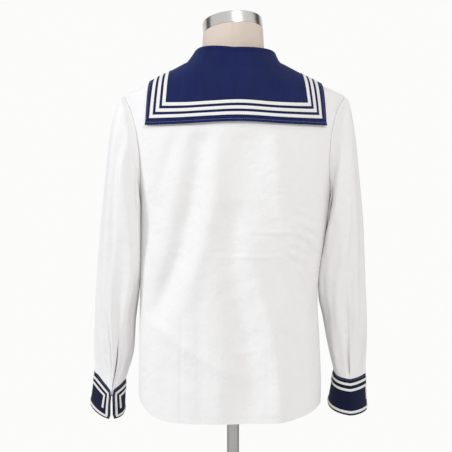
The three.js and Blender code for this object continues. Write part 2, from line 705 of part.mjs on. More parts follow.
function formTorso() {
  const round = (make) => sequence(FORM_COLUMNS, (i) => make((i / FORM_COLUMNS) * 2 * Math.PI));
  const torso = FORM_RING_Z.map((z) => {
    const inset = rowAt(FORM, "z", z).inset;
    return round((angle) => {
      const point = bodyPoint(Math.max(z, 660), angle, false);
      const normal = bodyNormal(Math.max(z, 660), angle);
      point.addScaledVector(normal, -Math.max(inset, FORM_LIFT));
      if (z < 1200) point.z = z;
      return point;
    });
  });
  const neck = NECK.map(({ z, wide, deep, y }) => {
    const tilted = smooth((z - 1330) / 40);
    return round((angle) => {
      const [x, yOff] = [-wide * Math.cos(angle), y - deep * Math.sin(angle)];
      const lean = -yOff * Math.tan(rad(-NECK_CAP.tiltX)) + x * Math.tan(rad(-NECK_CAP.tiltY));
      return new THREE.Vector3(x, yOff, z - 0.4 + tilted * lean);
    });
  });
  return loft([...torso, ...neck]);
}

function lathe(profile, segments) {
  const geometry = new THREE.LatheGeometry(profile.map(([r, z]) => new THREE.Vector2(r, z)), segments);
  return geometry.rotateX(Math.PI / 2);
}

function baseDisc() {
  const { radius, thick, bossRadius, bossTop, socket } = BASE;
  return lathe(
    [
      [0, 0],
      [radius, 0],
      [radius, thick - 4],
      [radius - 4, thick],
      [bossRadius, thick],
      [bossRadius, bossTop - 2],
      [bossRadius - 2, bossTop],
      [socket, bossTop],
      [socket, thick],
      [0, thick],
    ],
    32,
  );
}

function pole() {
  const [from, to] = [BASE.thick + 0.3, FORM[0].z - 0.3];
  const length = to - from;
  return new THREE.CylinderGeometry(POLE_RADIUS, POLE_RADIUS, length, 32)
    .rotateX(Math.PI / 2)
    .translate(0, 0, (from + to) / 2);
}

function neckCap() {
  const { radius, height, x, y, z, tiltX, tiltY } = NECK_CAP;
  return lathe(
    [
      [0, 0],
      [radius, 0],
      [radius, height - 2],
      [radius - 2, height],
      [radius - 8, height + 1],
      [0, height + 3],
    ],
    40,
  )
    .rotateX(rad(tiltX))
    .rotateY(rad(tiltY))
    .translate(x, y, z);
}

const LEFT = { stations: LEFT_SLEEVE, cuff: LEFT_CUFF, folds: LEFT_SLEEVE_FOLDS, slit: LEFT_SLIT };
const RIGHT = { stations: RIGHT_SLEEVE, cuff: RIGHT_CUFF, folds: RIGHT_SLEEVE_FOLDS, slit: RIGHT_SLIT };

const jumperOnStand = new THREE.Group();

function add(name, geometry, finish) {
  const mesh = new THREE.Mesh(geometry, new THREE.MeshStandardMaterial(finish));
  mesh.name = name;
  jumperOnStand.add(mesh);
}

add("base_disc", baseDisc(), STEEL);
add("pole", pole(), STEEL);
add("form_torso", formTorso(), JERSEY);
add("neck_cap", neckCap(), STEEL);
add("back_panel", backPanel(), WHITE);
add("front_panel", frontPanel(), WHITE);
add("sailor_collar", wall(collarSkin(), -CLOTH, 0), NAVY);
for (const [name, [from, to]] of Object.entries(COLLAR_TAPES)) {
  const inTape = ({ row }) => COLLAR_ROWS[row] >= from && COLLAR_ROWS[row] < to;
  add(`collar_tape_${name}`, wall(collarSkin(), TAPE_LIFT, TAPE_LIFT + TAPE, inTape), TAPE_WHITE);
}
for (const [sideName, side] of [["left", -1], ["right", 1]]) {
  add(`sleeve_${sideName}`, sleeve(side), WHITE);
  add(`cuff_${sideName}`, wall(cuffSkin(side), -CLOTH, 0), NAVY);
  for (const [name, tape] of Object.entries(CUFF_TAPES))
    add(`cuff_${sideName}_tape_${name}`, cuffTape(side, tape), TAPE_WHITE);
}

export default jumperOnStand;
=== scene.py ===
"""The looks of a white sailor jumper with a navy collar and cuffs, on a dress form with a steel stand.

The jumper hangs as the CAD model has it: +Z is up, its back faces -Y and +X is the wearer's right. Lengths in
the tables are millimetres and are turned into metres where a mesh is made. The body is a stack of rings: a
place on it is a height z and an angle, which is 0 at the wearer's left side, 90 degrees at the centre of the
back and 180 at the right side. A sleeve's ring has its own angle: 0 is the underarm, 90 the back, 180 the
outer side.
"""

import math

import bpy
import numpy as np
from bpy.props import FloatProperty, FloatVectorProperty, PointerProperty
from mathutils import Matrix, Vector


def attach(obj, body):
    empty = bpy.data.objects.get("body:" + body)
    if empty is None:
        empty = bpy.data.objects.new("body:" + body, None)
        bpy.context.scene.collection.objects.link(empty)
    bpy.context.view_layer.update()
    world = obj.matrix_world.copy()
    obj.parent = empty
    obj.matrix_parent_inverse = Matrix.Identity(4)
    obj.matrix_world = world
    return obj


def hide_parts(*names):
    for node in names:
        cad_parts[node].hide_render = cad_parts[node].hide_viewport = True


bl_info = {
    "name": "Sailor jumper on a dress form",
    "version": (1, 0, 0),
    "blender": (4, 5, 0),
    "location": "3D View > Sidebar > Jumper",
    "description": "Makes a sailor jumper's cloth, its stitching, its dress form and a plain studio",
    "category": "Object",
}

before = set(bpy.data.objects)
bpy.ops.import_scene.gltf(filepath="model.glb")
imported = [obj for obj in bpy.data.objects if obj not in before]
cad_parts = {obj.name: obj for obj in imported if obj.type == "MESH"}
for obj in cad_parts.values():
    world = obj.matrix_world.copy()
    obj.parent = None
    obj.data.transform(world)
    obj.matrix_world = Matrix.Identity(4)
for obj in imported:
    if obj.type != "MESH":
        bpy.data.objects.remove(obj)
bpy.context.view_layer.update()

# Driving sizes, in millimetres. They are the CAD model's, but for the slit, which opens a little wider here.
CLOTH = 1.6
TAPE = 1.0
SEAM = 0.4
COLLAR_LIFT = 4.1
TAPE_LIFT = 0.3
HEM = {"z": 596, "left_rise": 43, "left_power": 8, "right_rise": 30, "right_power": 4.2}
UNDERARM_Z = 1023
SHOULDER_Z = 1246
NECK_Z = 1316
NECK_SIDE_X = 82
NECKLINE_V_Z = 1118
ARMHOLE_BACK = math.radians(22)
ARMHOLE_FRONT = math.radians(24)
BASE = {"radius": 180, "thick": 12, "boss_radius": 24, "boss_top": 40, "socket": 12.9}
POLE_RADIUS = 12.5
NECK_RING = {"radius": 61.3, "height": 24, "x": 0.3, "y": 0, "z": 1376, "tilt_x": -9, "tilt_y": -5}
CUFF_HEIGHT = 76
CUFF_ROUND = 250
SLIT = {"from": 7.3, "half_open": 3}
COLLAR = {
    "corner_z": 1178.5, "arch": 3.6, "sag": 2.5, "left_x": 171, "left_ridge_x": 167, "right_x": 182,
    "right_ridge_x": 177, "ridge_z": 1272, "lapel_z": 1020, "stand": 17, "lean_left": 12, "lean_right": 3,
    "flat_to": 47.5,
}
COLLAR_TAPES = {"outer": (12.2, 18.2), "middle": (23.8, 29.8), "inner": (35.2, 41.2)}
SIDE_NECK_ANGLE = math.radians(24)
GATHERS = {"count": 8, "deep": 3.4, "from": 7.1}
FORM_FOOT_Z = 652

# What only the visible surfaces have
SLEEVE_BACK_POWER = 0.62  # how square a sleeve is at the back by the body, where 1 is an ellipse
SLEEVE_LEAN = 14  # how far that quarter leans against the body's side
SLEEVE_END = {"down": (4, 9, 14), "inset": 2.6}  # a sleeve's last rows, inside its cuff
CUFF_CREASE = {"deep": 1.1, "wide": 0.03}  # pressed into the right cuff; wide is an angle in radians
CUFF_STITCHES = np.array([(3, 3), (247, 3), (247, 73), (3, 73), (3, 3)], float)
COLLAR_STITCHES = 4.5  # inside the collar's edge
HEM_STITCHES = 7  # the row of the body's grids that they run along
TAPE_CROWN = 0.25  # how much higher a tape's middle is than its edges
TAPE_ROWS = 7
LAPEL_HALF_GAP = 0.35

# The studio. Lengths here are metres, but for the floor's, and the lens's are pixels of the photograph.
CAMERA = {"place": (-0.01435, -1.845, 0.980), "focal": 900, "frame": 452, "sensor_mm": 36}
AIM = Vector((0, 0, 0.95))
FLOOR = {"radius": 1900, "thick": 8, "gap": 0.3}
COOL = (0.95, 0.985, 1.04)  # the lamps' tint; the cloth is as much warmer, so only its shadows are warm
EVEN = (0.985, 0.99, 0.995)
WARM = (1.0, 0.89, 0.76)


def table(names, rows):
    """A table with named columns, each column an array."""
    return dict(zip(names.split(), np.array(rows, float).T))


# Rings of the body, from the hem to the neckline: half widths, depths, and how square the ring is.
BODY = table("z left right back front square", [
    (590, 192, 177, 106, 108, 2.6),
    (660, 192, 179, 108, 110, 2.6),
    (750, 191, 176, 110, 112, 2.6),
    (825, 190, 172, 112, 114, 2.5),
    (885, 190, 176, 115, 117, 2.5),
    (950, 190, 187, 119, 120, 2.45),
    (1020, 190, 197, 124, 122, 2.4),
    (1090, 196, 203, 127, 122, 2.3),
    (1160, 206, 210, 126, 116, 2.05),
    (1210, 215, 219, 118, 104, 1.75),
    (1246, 222, 228, 106, 88, 1.45),
    (1252, 211, 216.5, 103, 84.2, 1.5),
    (1262, 190, 193.5, 98, 78, 1.6),
    (1278, 158, 157, 91, 70, 1.7),
    (1294, 124, 125, 84, 64, 1.8),
    (1308, 97, 98, 77, 60, 1.9),
    (1316, 82, 83, 73, 58, 2.0),
])

# Folds run along a line from one place to another. wide and deep are a trough's; a ridge has deep below 0.
# lean makes the side on the line's right steeper.
FOLD_COLUMNS = "x z to_x to_z wide deep lean"
BACK_FOLDS = table(FOLD_COLUMNS, [
    (-56, 1168, -70, 1060, 24, 12, 0.2),
    (-70, 1060, -102, 925, 24, 16, 0.2),
    (-102, 925, -146, 808, 22, 17, 0.2),
    (-108, 1166, -138, 1072, 15, 6, 0),
    (-138, 1072, -162, 950, 18, 6.8, 0),
    (-34, 1150, -44, 990, 20, -3.8, 0),
    (-48, 990, -92, 830, 18, -4.5, 0),
    (24, 1166, 24, 1030, 42, 8.2, 0),
    (14, 1030, -6, 960, 30, 4.5, 0),
    (-6, 1000, 8, 840, 24, 8, 0.3),
    (8, 840, 30, 735, 28, 11.5, 0.3),
    (30, 735, 38, 590, 34, 13.5, 0.3),
    (78, 1160, 92, 1030, 22, -4.5, 0),
    (96, 1160, 122, 1078, 13, 3.9, 0),
    (122, 1078, 150, 995, 15, 4.5, 0),
    (90, 1020, 112, 950, 15, -3.9, 0.2),
    (113, 980, 123, 926, 8, -4.5, 0.4),
    (123, 926, 161, 838, 8, -5.4, 0.4),
    (138, 955, 164, 880, 13, 7.5, 0),
    (120, 1003, 164, 985, 6, 2.7, 0),
    (126, 978, 172, 955, 6, 3, 0),
    (142, 944, 178, 915, 6, 2.7, 0),
    (164, 850, 160, 785, 7, 5.1, 0),
    (60, 905, 96, 825, 17, 4.2, 0),
    (44, 860, 70, 790, 14, -3.3, 0),
    (70, 810, 84, 700, 20, -5.4, 0),
    (84, 700, 90, 590, 19, -7.5, -0.6),
    (112, 800, 122, 690, 20, 4.5, 0),
    (122, 690, 124, 596, 20, 5.4, 0),
    (140, 780, 152, 640, 14, -3.6, 0),
    (-66, 830, -62, 600, 12, 2.7, 0),
    (-156, 790, -96, 742, 12, -3, 0),
    (-96, 742, 10, 684, 12, -3, 0),
    (-130, 712, -66, 668, 14, 2.4, 0),
    (-140, 690, -138, 600, 18, 2.7, 0),
    (-24, 700, -30, 600, 14, -3, 0),
    (-168, 1040, -174, 900, 10, 3.9, 0),
])
FRONT_FOLDS = table(FOLD_COLUMNS, [
    (96, 1080, 140, 860, 19, 6, 0.3),
    (-88, 1060, -138, 830, 18, 5.5, 0.3),
    (20, 980, 8, 640, 34, 3.5, 0),
    (-50, 900, -66, 660, 24, -3, 0),
    (62, 880, 80, 650, 22, -3, 0),
    (120, 1130, 172, 1010, 12, 4, 0),
    (-124, 1130, -168, 1010, 12, 4, 0),
    (110, 1010, 160, 880, 11, -3, 0.3),
    (-60, 1000, -112, 840, 14, -3, 0),
    (-20, 1000, -34, 760, 16, 2.4, 0),
    (44, 960, 56, 760, 14, 2.2, 0),
    (130, 780, 142, 640, 14, 2.4, 0),
    (-120, 760, -128, 630, 14, 2.6, 0),
    (0, 760, 4, 600, 16, -3, 0),
    (100, 700, 100, 600, 14, -2.6, 0),
    (-90, 700, -94, 600, 14, -2.4, 0),
    (-60, 700, 60, 668, 14, -1.8, 0),
])
# Pressed creases left from folding: narrow and shallow
BACK_CREASES = table(FOLD_COLUMNS, [
    (-78, 921, 112, 919, 4, -0.8, 0),
    (30, 968, 128, 966, 4, -1, 0),
    (-100, 800, -102, 598, 3.4, 1.6, 0.4),
    (66, 760, 68, 600, 3.6, 0.8, 0),
    (-30, 1040, -20, 940, 4, -0.8, 0),
    (104, 962, 152, 944, 5, 1.8, 0),
    (110, 941, 158, 917, 5, 2, 0),
    (108, 917, 150, 893, 5, 1.6, 0),
])
FRONT_CREASES = table(FOLD_COLUMNS, [
    (-110, 920, 80, 921, 4, -1.3, 0),
    (88, 850, 88, 600, 3.6, 1.4, 0),
    (-84, 800, -84, 600, 3.6, 0.8, 0),
])

# A sleeve's rings: the point at the outer side, the point at the inner side, half the depth, the middle.
STATION_COLUMNS = "at out_x out_z in_x in_z deep y"
LEFT_SLEEVE = table(STATION_COLUMNS, [
    (0, -222, 1246, -190.5, 1023.4, 52, 0),
    (1, -232.5, 1238, -193, 1017, 62, 0),
    (2, -248, 1187, -192, 1002, 70, 1),
    (3, -256, 1130, -191.6, 977, 75, 2),
    (4, -264, 1054, -191.4, 935, 74, 4),
    (5, -272.6, 972, -191.4, 890, 69, 7),
    (6, -279, 890, -193.5, 845, 64, 11),
    (7, -285, 808, -200, 787, 57, 16),
    (8, -289, 738, -204, 718, 50, 21),
    (9, -288, 684.5, -220, 661.5, 42, 25),
])
RIGHT_SLEEVE = table(STATION_COLUMNS, [
    (0, 228, 1246, 197.5, 1023.4, 52, 0),
    (1, 238, 1232, 202, 1016, 62, 0),
    (2, 249, 1170, 197, 1002, 70, 1),
    (3, 256, 1100, 193, 975, 74, 2),
    (4, 264.5, 1013, 187.5, 940, 72, 4),
    (5, 270.6, 931, 179.2, 892, 67, 7),
    (6, 274.7, 850, 176.5, 838, 61, 10),
    (7, 278.6, 780, 185, 795, 55, 13),
    (8, 278.8, 730, 195, 740, 48, 17),
    (9, 275.6, 672.5, 208.4, 683.5, 42, 20),
])
SLEEVE_FOLD_COLUMNS = "at angle to_at to_angle wide deep lean"
AT_SCALE = 30  # a sleeve fold's width is in degrees, and one ring counts as this many
LEFT_SLEEVE_FOLDS = table(SLEEVE_FOLD_COLUMNS, [
    (0.6, 84, 1.6, 62, 9, 6, 0.4),
    (1.4, 66, 2.6, 50, 9, 6, 0.4),
    (1.2, 96, 4.2, 80, 10, -4.5, 0),
    (1.5, 114, 6.2, 100, 12, 6, 0.3),
    (2.0, 134, 6.6, 124, 10, -4, 0),
    (2.6, 150, 7, 138, 14, 5, 0),
    (3.6, 70, 7.6, 62, 13, -4.4, 0),
    (4.6, 84, 8.4, 78, 8, 4.2, 0),
    (2.4, 46, 5.6, 42, 7, -2.6, 0.5),
    (5.4, 100, 8.6, 96, 8, -2.4, 0),
    (6.9, 106, 8.9, 100, 5, 6, 0.6),
    (7.2, 64, 9, 60, 5, 5, -0.4),
    (7.4, 122, 9, 120, 6, 4, 0.3),
    (5.0, 42, 8.0, 34, 14, 3, 0),
    (1, 300, 4.5, 322, 18, 5, 0),
    (3, 235, 7.6, 250, 20, 3.5, 0),
    (1.4, 262, 5, 276, 14, -3, 0),
    (4.6, 300, 8.2, 290, 14, 3, 0),
    (5, 200, 8.4, 210, 16, 3, 0),
])
RIGHT_SLEEVE_FOLDS = table(SLEEVE_FOLD_COLUMNS, [
    (0.9, 62, 2.6, 40, 13, 13, 0.5),
    (1.8, 50, 3.0, 26, 10, 13, 0.4),
    (1.0, 92, 3.0, 66, 9, -5, 0),
    (3.0, 52, 5.0, 52, 12, -4, 0),
    (3.4, 60, 7.4, 34, 15, 6, 0.3),
    (3.4, 100, 7.2, 72, 6, -4.5, 0.5),
    (4.4, 112, 8.6, 92, 9, 5.5, 0.5),
    (3.0, 122, 6.6, 112, 12, -4, 0),
    (6.1, 92, 7.4, 89, 4.5, 7, 0.6),
    (7.4, 89, 9.4, 94, 4.5, 8, 0.6),
    (2.5, 134, 7.2, 130, 13, 3.2, 0),
    (1, 305, 4.5, 325, 18, 5, 0),
    (2.5, 215, 7, 235, 20, 3.5, 0),
    (1.4, 262, 5, 276, 14, -3, 0),
    (4.6, 300, 8.2, 290, 14, 3, 0),
    (5, 170, 8.4, 176, 14, 3, 0),
])

# A cuff's upper and lower rim: its centre, half width, half depth, tilt and roll in degrees, how far its back
# is moved towards the body, and how square the back is, towards the body and away from it.
CUFF_COLUMNS = "at x y z wide deep tilt roll skew square_in square_out"
LEFT_CUFF = table(CUFF_COLUMNS, [
    (0, -254.5, 25, 670, 33, 47, 36, 11, 6.5, 1.05, 1),
    (1, -265.5, 66, 597, 37, 50, 19, 7.5, 8, 1.9, 1.6),
])
RIGHT_CUFF = table(CUFF_COLUMNS, [
    (0, 241.7, 20, 678.7, 33.6, 42.3, 12.8, -6.6, 4.8, 2.4, 1.2),
    (1, 239.5, 38, 604.4, 41.6, 46, 14.6, -8.4, 1.4, 2.3, 1.4),
])
# The tapes' outer and inner lines on a cuff: millimetres from its end and from its upper rim.
CUFF_TAPE_LINES = {
    "outer": ([(5.3, 8.3), (244.7, 8.3), (244.7, 71.2), (5.3, 71.2), (5.3, 8.3)],
              [(10.2, 13), (239.8, 13), (239.8, 66.6), (10.2, 66.6), (10.2, 13)]),
    "inner": ([(17.4, 53), (17.4, 20.4), (232.6, 20.4), (232.6, 53)],
              [(22, 53), (22, 25), (228, 25), (228, 53)]),
}

LEFT = {
    "name": "left", "side": -1, "stations": LEFT_SLEEVE, "cuff": LEFT_CUFF, "folds": LEFT_SLEEVE_FOLDS,
    "slit": math.radians(78.75),
}
RIGHT = {
    "name": "right", "side": 1, "stations": RIGHT_SLEEVE, "cuff": RIGHT_CUFF, "folds": RIGHT_SLEEVE_FOLDS,
    "slit": math.radians(202.5),
}

# The form inside: how far it lies within the body's rings, which is a little further than in the CAD model, so
# that the folds clear it; and its neck's half width, half depth and middle.
FORM = table("z inset", [
    (652, 62), (656, 40), (668, 24), (700, 18), (780, 21), (885, 25), (1020, 21), (1110, 17), (1160, 9),
    (1230, 3.6), (1246, 3), (1308, 3.1),
])
NECK = table("z wide deep y", [
    (1316, 77, 62, -7.2), (1325, 69.5, 60, -5.5), (1340, 64, 59, -3), (1376, 61.5, 61, 0),
])


# Numbers

def mix(a, b, f):
    return a + (b - a) * f


def smooth(f):
    """0 below 0, 1 above 1, and 3 f^2 - 2 f^3 between."""
    t = np.clip(f, 0, 1)
    return t * t * (3 - 2 * t)


def row_at(rows, column, place):
    """A table's columns at any place: a cubic between two rows, whose slope at a row is its neighbours'."""
    t = rows[column]
    last = len(t) - 1
    before, after = np.maximum(np.arange(last + 1) - 1, 0), np.minimum(np.arange(last + 1) + 1, last)
    i = np.clip(np.searchsorted(t, place, side="right") - 1, 0, last - 1)
    span = t[i + 1] - t[i]
    f = (place - t[i]) / span
    result = {}
    for name, v in rows.items():
        slope = (v[after] - v[before]) / (t[after] - t[before])
        rise, c, d = v[i + 1] - v[i], slope[i] * span, slope[i + 1] * span
        result[name] = v[i] + f * (c + f * (3 * rise - 2 * c - d + f * (c + d - 2 * rise)))
    return result


def fold_depth(folds, u, v):
    """The sum of soft troughs. Across its line a trough is deep * exp(-(off / wide)^2) * (1 + lean * off /
    wide), and along the line it is scaled by 0.45 + 0.55 sin(pi * share), so it fades towards both ends."""
    total = np.zeros(np.broadcast_shapes(np.shape(u), np.shape(v)))
    for u0, v0, u1, v1, wide, deep, lean in zip(*folds.values()):
        du, dv = u1 - u0, v1 - v0
        length = math.hypot(du, dv)
        near = np.clip(((u - u0) * du + (v - v0) * dv) / length**2, 0, 1)
        off_u, off_v = u - u0 - near * du, v - v0 - near * dv
        across = (off_u * dv - off_v * du) / length / wide
        off = np.hypot(off_u, off_v) / wide
        total += deep * np.exp(-off**2) * (1 + lean * across) * (0.45 + 0.55 * np.sin(math.pi * near))
    return total


def unit(v):
    return v / np.maximum(np.linalg.norm(v, axis=-1, keepdims=True), 1e-9)


def through(controls, counts):
    """Points on a smooth curve through controls, which run along the first axis, with counts[i] steps in span
    i: a cubic whose slope at a control is half the way from the one before to the one after."""
    controls = np.asarray(controls, float)
    last = len(controls) - 1
    place = np.concatenate([i + np.arange(n) / n for i, n in enumerate(counts)] + [[last]])
    index = {"at": np.arange(last + 1.0)}
    flat = controls.reshape(last + 1, -1)
    index.update({str(i): flat[:, i] for i in range(flat.shape[1])})
    made = row_at(index, "at", place)
    return np.stack([made[str(i)] for i in range(flat.shape[1])], -1).reshape(len(place), *controls.shape[1:])


def travelled(points, axis=0):
    """The distance from the start of a line of points, or of each line of a grid, to each of its points."""
    far = np.cumsum(np.linalg.norm(np.diff(points, axis=axis), axis=-1), axis)
    return np.concatenate([np.zeros_like(np.take(far, [0], axis)), far], axis)


# The body's surface

def body_point(z, angle, folded=True):
    """A ring is a superellipse: x = -width |cos|^p and y = -depth |sin|^p with p = 2 / square. Folds move y
    inwards and fade out below the collar and at the side seams."""
    ring = row_at(BODY, "z", z)
    power = 2 / ring["square"]
    c, s = np.cos(angle), np.sin(angle)
    x = -np.sign(c) * np.where(c > 0, ring["left"], ring["right"]) * np.abs(c) ** power
    y = -np.sign(s) * np.where(s > 0, ring["back"], ring["front"]) * np.abs(s) ** power
    x, y, z = np.broadcast_arrays(x, y, z)
    if folded:
        fade = smooth((1180 - z) / 40) * smooth(np.abs(s) * 2.2)
        pressed = smooth(np.abs(s) * 1.6)
        back = fade * fold_depth(BACK_FOLDS, x, z) + pressed * fold_depth(BACK_CREASES, x, z)
        front = fade * fold_depth(FRONT_FOLDS, x, z) + pressed * fold_depth(FRONT_CREASES, x, z)
        y = y + np.sign(s) * np.where(s > 0, back, front)
    return np.stack([x, y, z], -1)


def body_normal(z, angle):
    """The cross product of the steps round the body and up it."""
    across = body_point(z, angle + 0.01, False) - body_point(z, angle - 0.01, False)
    up = body_point(z + 0.5, angle, False) - body_point(z - 0.5, angle, False)
    return unit(np.cross(across, up))


def off_body(z, angle, lift):
    return body_point(z, angle, False) + body_normal(z, angle) * np.asarray(lift)[..., None]


def angle_at(x, z, back):
    """The angle where a ring's superellipse reaches x: the arc cosine of (|x| / width)^(square / 2)."""
    ring = row_at(BODY, "z", z)
    share = np.minimum(np.abs(x) / np.where(x < 0, ring["left"], ring["right"]), 1)
    turn = np.arccos(share ** (ring["square"] / 2))
    way = np.where(back, 1, -1)
    return np.where(x < 0, way * turn, math.pi - way * turn)


def ridge_z(x):
    """The height where the shoulder's ridge is as wide as x, found by halving the span thirty times."""
    low, high = np.full(np.shape(x), float(SHOULDER_Z)), np.full(np.shape(x), float(NECK_Z))
    for _ in range(30):
        middle = (low + high) / 2
        ring = row_at(BODY, "z", middle)
        wide = np.where(x < 0, ring["left"], ring["right"]) > np.abs(x)
        low, high = np.where(wide, middle, low), np.where(wide, high, middle)
    return low


def seam_turn(z, depth_name):
    """The angle that leaves half a seam's gap at the side or shoulder seam."""
    ring = row_at(BODY, "z", z)
    return (SEAM / 2 / ring[depth_name]) ** (ring["square"] / 2)


def hem_z(angle):
    """The hem's height: its lowest height plus rise * |x / width|^power, on the left and on the right."""
    ring = row_at(BODY, "z", HEM["z"])
    share = np.abs(np.cos(angle)) ** (2 / ring["square"])
    left = HEM["left_rise"] * share ** HEM["left_power"]
    return HEM["z"] + np.where(np.cos(angle) > 0, left, HEM["right_rise"] * share ** HEM["right_power"])


def body_rows():
    """The rows of a panel, bottom to top: how far up from the hem to the underarm, the armhole's angle and
    the height."""
    lower = np.r_[np.linspace(0, 0.03, 8), np.linspace(0.03, 1, 150)[1:]]
    arm = np.linspace(0, math.pi, 62)[1:]
    yoke = np.linspace(SHOULDER_Z, NECK_Z, 26)[1:]
    share = np.r_[lower, np.ones(len(arm) + len(yoke))]
    sleeve = np.r_[np.zeros(len(lower)), arm, np.zeros(len(yoke))]
    top = np.r_[np.full(len(lower), UNDERARM_Z), mix(UNDERARM_Z, SHOULDER_Z, (1 - np.cos(arm)) / 2), yoke]
    return share[:, None], sleeve[:, None], top[:, None]


def back_grid(columns=170):
    """Rows up the back and columns from the left side seam to the right one."""
    share, sleeve, top = body_rows()
    side_z = mix(hem_z(0.0), top, share)
    start = np.maximum(seam_turn(side_z, "back"), ARMHOLE_BACK * np.sin(sleeve))
    angle = mix(start, math.pi - start, np.linspace(0, 1, columns + 1)[None])
    return body_point(mix(hem_z(angle), top, share), angle)


def front_grids(columns=85):
    """Two grids, between a side and the centre or the neckline's edge: the left half's run to the centre."""
    share, sleeve, top = body_rows()
    side_z = mix(hem_z(0.0), top, share)
    start = np.maximum(seam_turn(side_z, "front"), ARMHOLE_FRONT * np.sin(sleeve))
    ring = row_at(BODY, "z", side_z)
    neck_x = NECK_SIDE_X * np.clip((side_z - NECKLINE_V_Z) / (NECK_Z - NECKLINE_V_Z), 0, None)
    halves = []
    for side in (-1, 1):
        width = ring["left"] if side < 0 else ring["right"]
        end = np.maximum(np.arccos(np.minimum(neck_x / width, 1) ** (ring["square"] / 2)), start)
        turn = mix(start, end, np.linspace(0, 1, columns + 1)[None])
        angle = -turn if side < 0 else math.pi + turn
        halves.append(body_point(mix(hem_z(angle), top, share), angle))
    return halves[0][:, ::-1], halves[1]


# Sleeves and cuffs

def plain_sleeve(stations, at, angle):
    """A sleeve's ring is an ellipse through its outer and its inner point. At the back by the body it is
    squarer, |cos| and |sin| to a power, and leans against the body's side by lean * cos * sin."""
    ring = row_at(stations, "at", at)
    c, s = np.cos(angle), np.sin(angle)
    power = np.where((c > 0) & (s > 0), SLEEVE_BACK_POWER, 1)
    c, s = np.sign(c) * np.abs(c) ** power, np.sign(s) * np.abs(s) ** power
    x = (ring["out_x"] + ring["in_x"]) / 2 - (ring["out_x"] - ring["in_x"]) / 2 * c
    lean = SLEEVE_LEAN * smooth(at / 1.6) * smooth((7 - at) / 2) * np.clip(c, 0, 1) * np.clip(s, 0, 1)
    x = x - np.sign(ring["out_x"]) * lean
    z = (ring["out_z"] + ring["in_z"]) / 2 - (ring["out_z"] - ring["in_z"]) / 2 * c
    y = ring["y"] - ring["deep"] * s
    return np.stack(np.broadcast_arrays(x, y, z), -1)


def armhole_point(side, angle):
    """A point of the armhole's edge on the body, moved a seam's gap outwards."""
    s = np.sin(angle)
    z = mix(UNDERARM_Z, SHOULDER_Z, (1 - np.cos(angle)) / 2)
    turn = np.where(s > 0, ARMHOLE_BACK, ARMHOLE_FRONT) * s
    gap = np.where(s > 0, seam_turn(z, "back"), seam_turn(z, "front"))
    turn = np.where(np.abs(s) < 1e-6, 0, np.sign(turn) * np.maximum(np.abs(turn), gap))
    point = body_point(z, turn if side < 0 else math.pi - turn)
    point[..., 0] += side * SEAM
    point[..., 2] += np.where(np.cos(angle) > 0.9, SEAM, 0)
    return point


def cuff_point(cuff, down, angle):
    """A rim is a superellipse, turned by its tilt and roll; its sizes go evenly from the upper rim to the
    lower. The right cuff has a narrow pressed crease at the middle of its back, a bell curve across."""
    rim = {name: mix(v[0], v[1], np.asarray(down) / CUFF_HEIGHT) for name, v in cuff.items()}
    c, s = np.cos(angle), np.sin(angle)
    square = np.where(s < 0, 2.1, np.where(c > 0, rim["square_in"], rim["square_out"]))
    across = np.sign(c) * np.abs(c) ** (2 / square) * rim["wide"]
    deep = np.sign(s) * np.abs(s) ** (2 / square) * rim["deep"]
    side = np.sign(cuff["x"][0])
    tilt, roll = np.radians(rim["tilt"]), np.radians(rim["roll"])
    x = rim["x"] - side * (across * np.cos(roll) + rim["skew"] * s)
    crease = np.exp(-((np.asarray(angle) - math.pi / 2) / CUFF_CREASE["wide"]) ** 2)
    crease = CUFF_CREASE["deep"] * crease * (side > 0)
    y = rim["y"] - deep * np.cos(tilt) + crease
    z = rim["z"] - deep * np.sin(tilt) - across * np.sin(roll)
    return np.stack(np.broadcast_arrays(x, y, z), -1)


def sleeve_point(arm, at, angle):
    """The plain ring, drawn to the armhole's edge near the shoulder by (1 - at / 3.2)^2 and to the cuff's rim
    near the wrist, then pushed towards its middle by the folds and by the gathers' cosine."""
    at, angle = np.broadcast_arrays(np.asarray(at, float), angle)
    stations = arm["stations"]
    point = plain_sleeve(stations, at, angle)
    from_body = (np.maximum(1 - at / 3.2, 0) ** 2)[..., None]
    point = point + (armhole_point(arm["side"], angle) - plain_sleeve(stations, 0 * at, angle)) * from_body
    to_cuff = smooth((at - 6.2) / 2.8)[..., None]
    rim = cuff_point(arm["cuff"], -SEAM - 0.2, angle)
    point = point + (rim - plain_sleeve(stations, 0 * at + 9, angle)) * to_cuff
    folds = dict(arm["folds"])
    folds["at"], folds["to_at"] = folds["at"] * AT_SCALE, folds["to_at"] * AT_SCALE
    fade = smooth(at - 0.2) * smooth((9.04 - at) / 0.3)
    pleat = GATHERS["deep"] * smooth((at - GATHERS["from"]) / 1.4) * (1 - 0.8 * smooth((at - 8.5) / 0.5))
    inward = fade * fold_depth(folds, at * AT_SCALE, np.degrees(angle))
    inward = inward + pleat * (0.5 - 0.5 * np.cos(GATHERS["count"] * angle))
    middle = (plain_sleeve(stations, at, 0 * at) + plain_sleeve(stations, at, 0 * at + math.pi)) / 2
    return point + unit(middle - point) * inward[..., None]


def open_round(slit, half_open, share):
    """Angles round a sleeve from its opening back to it, leaving half the opening at each end."""
    return slit + half_open + (2 * math.pi - 2 * half_open) * share


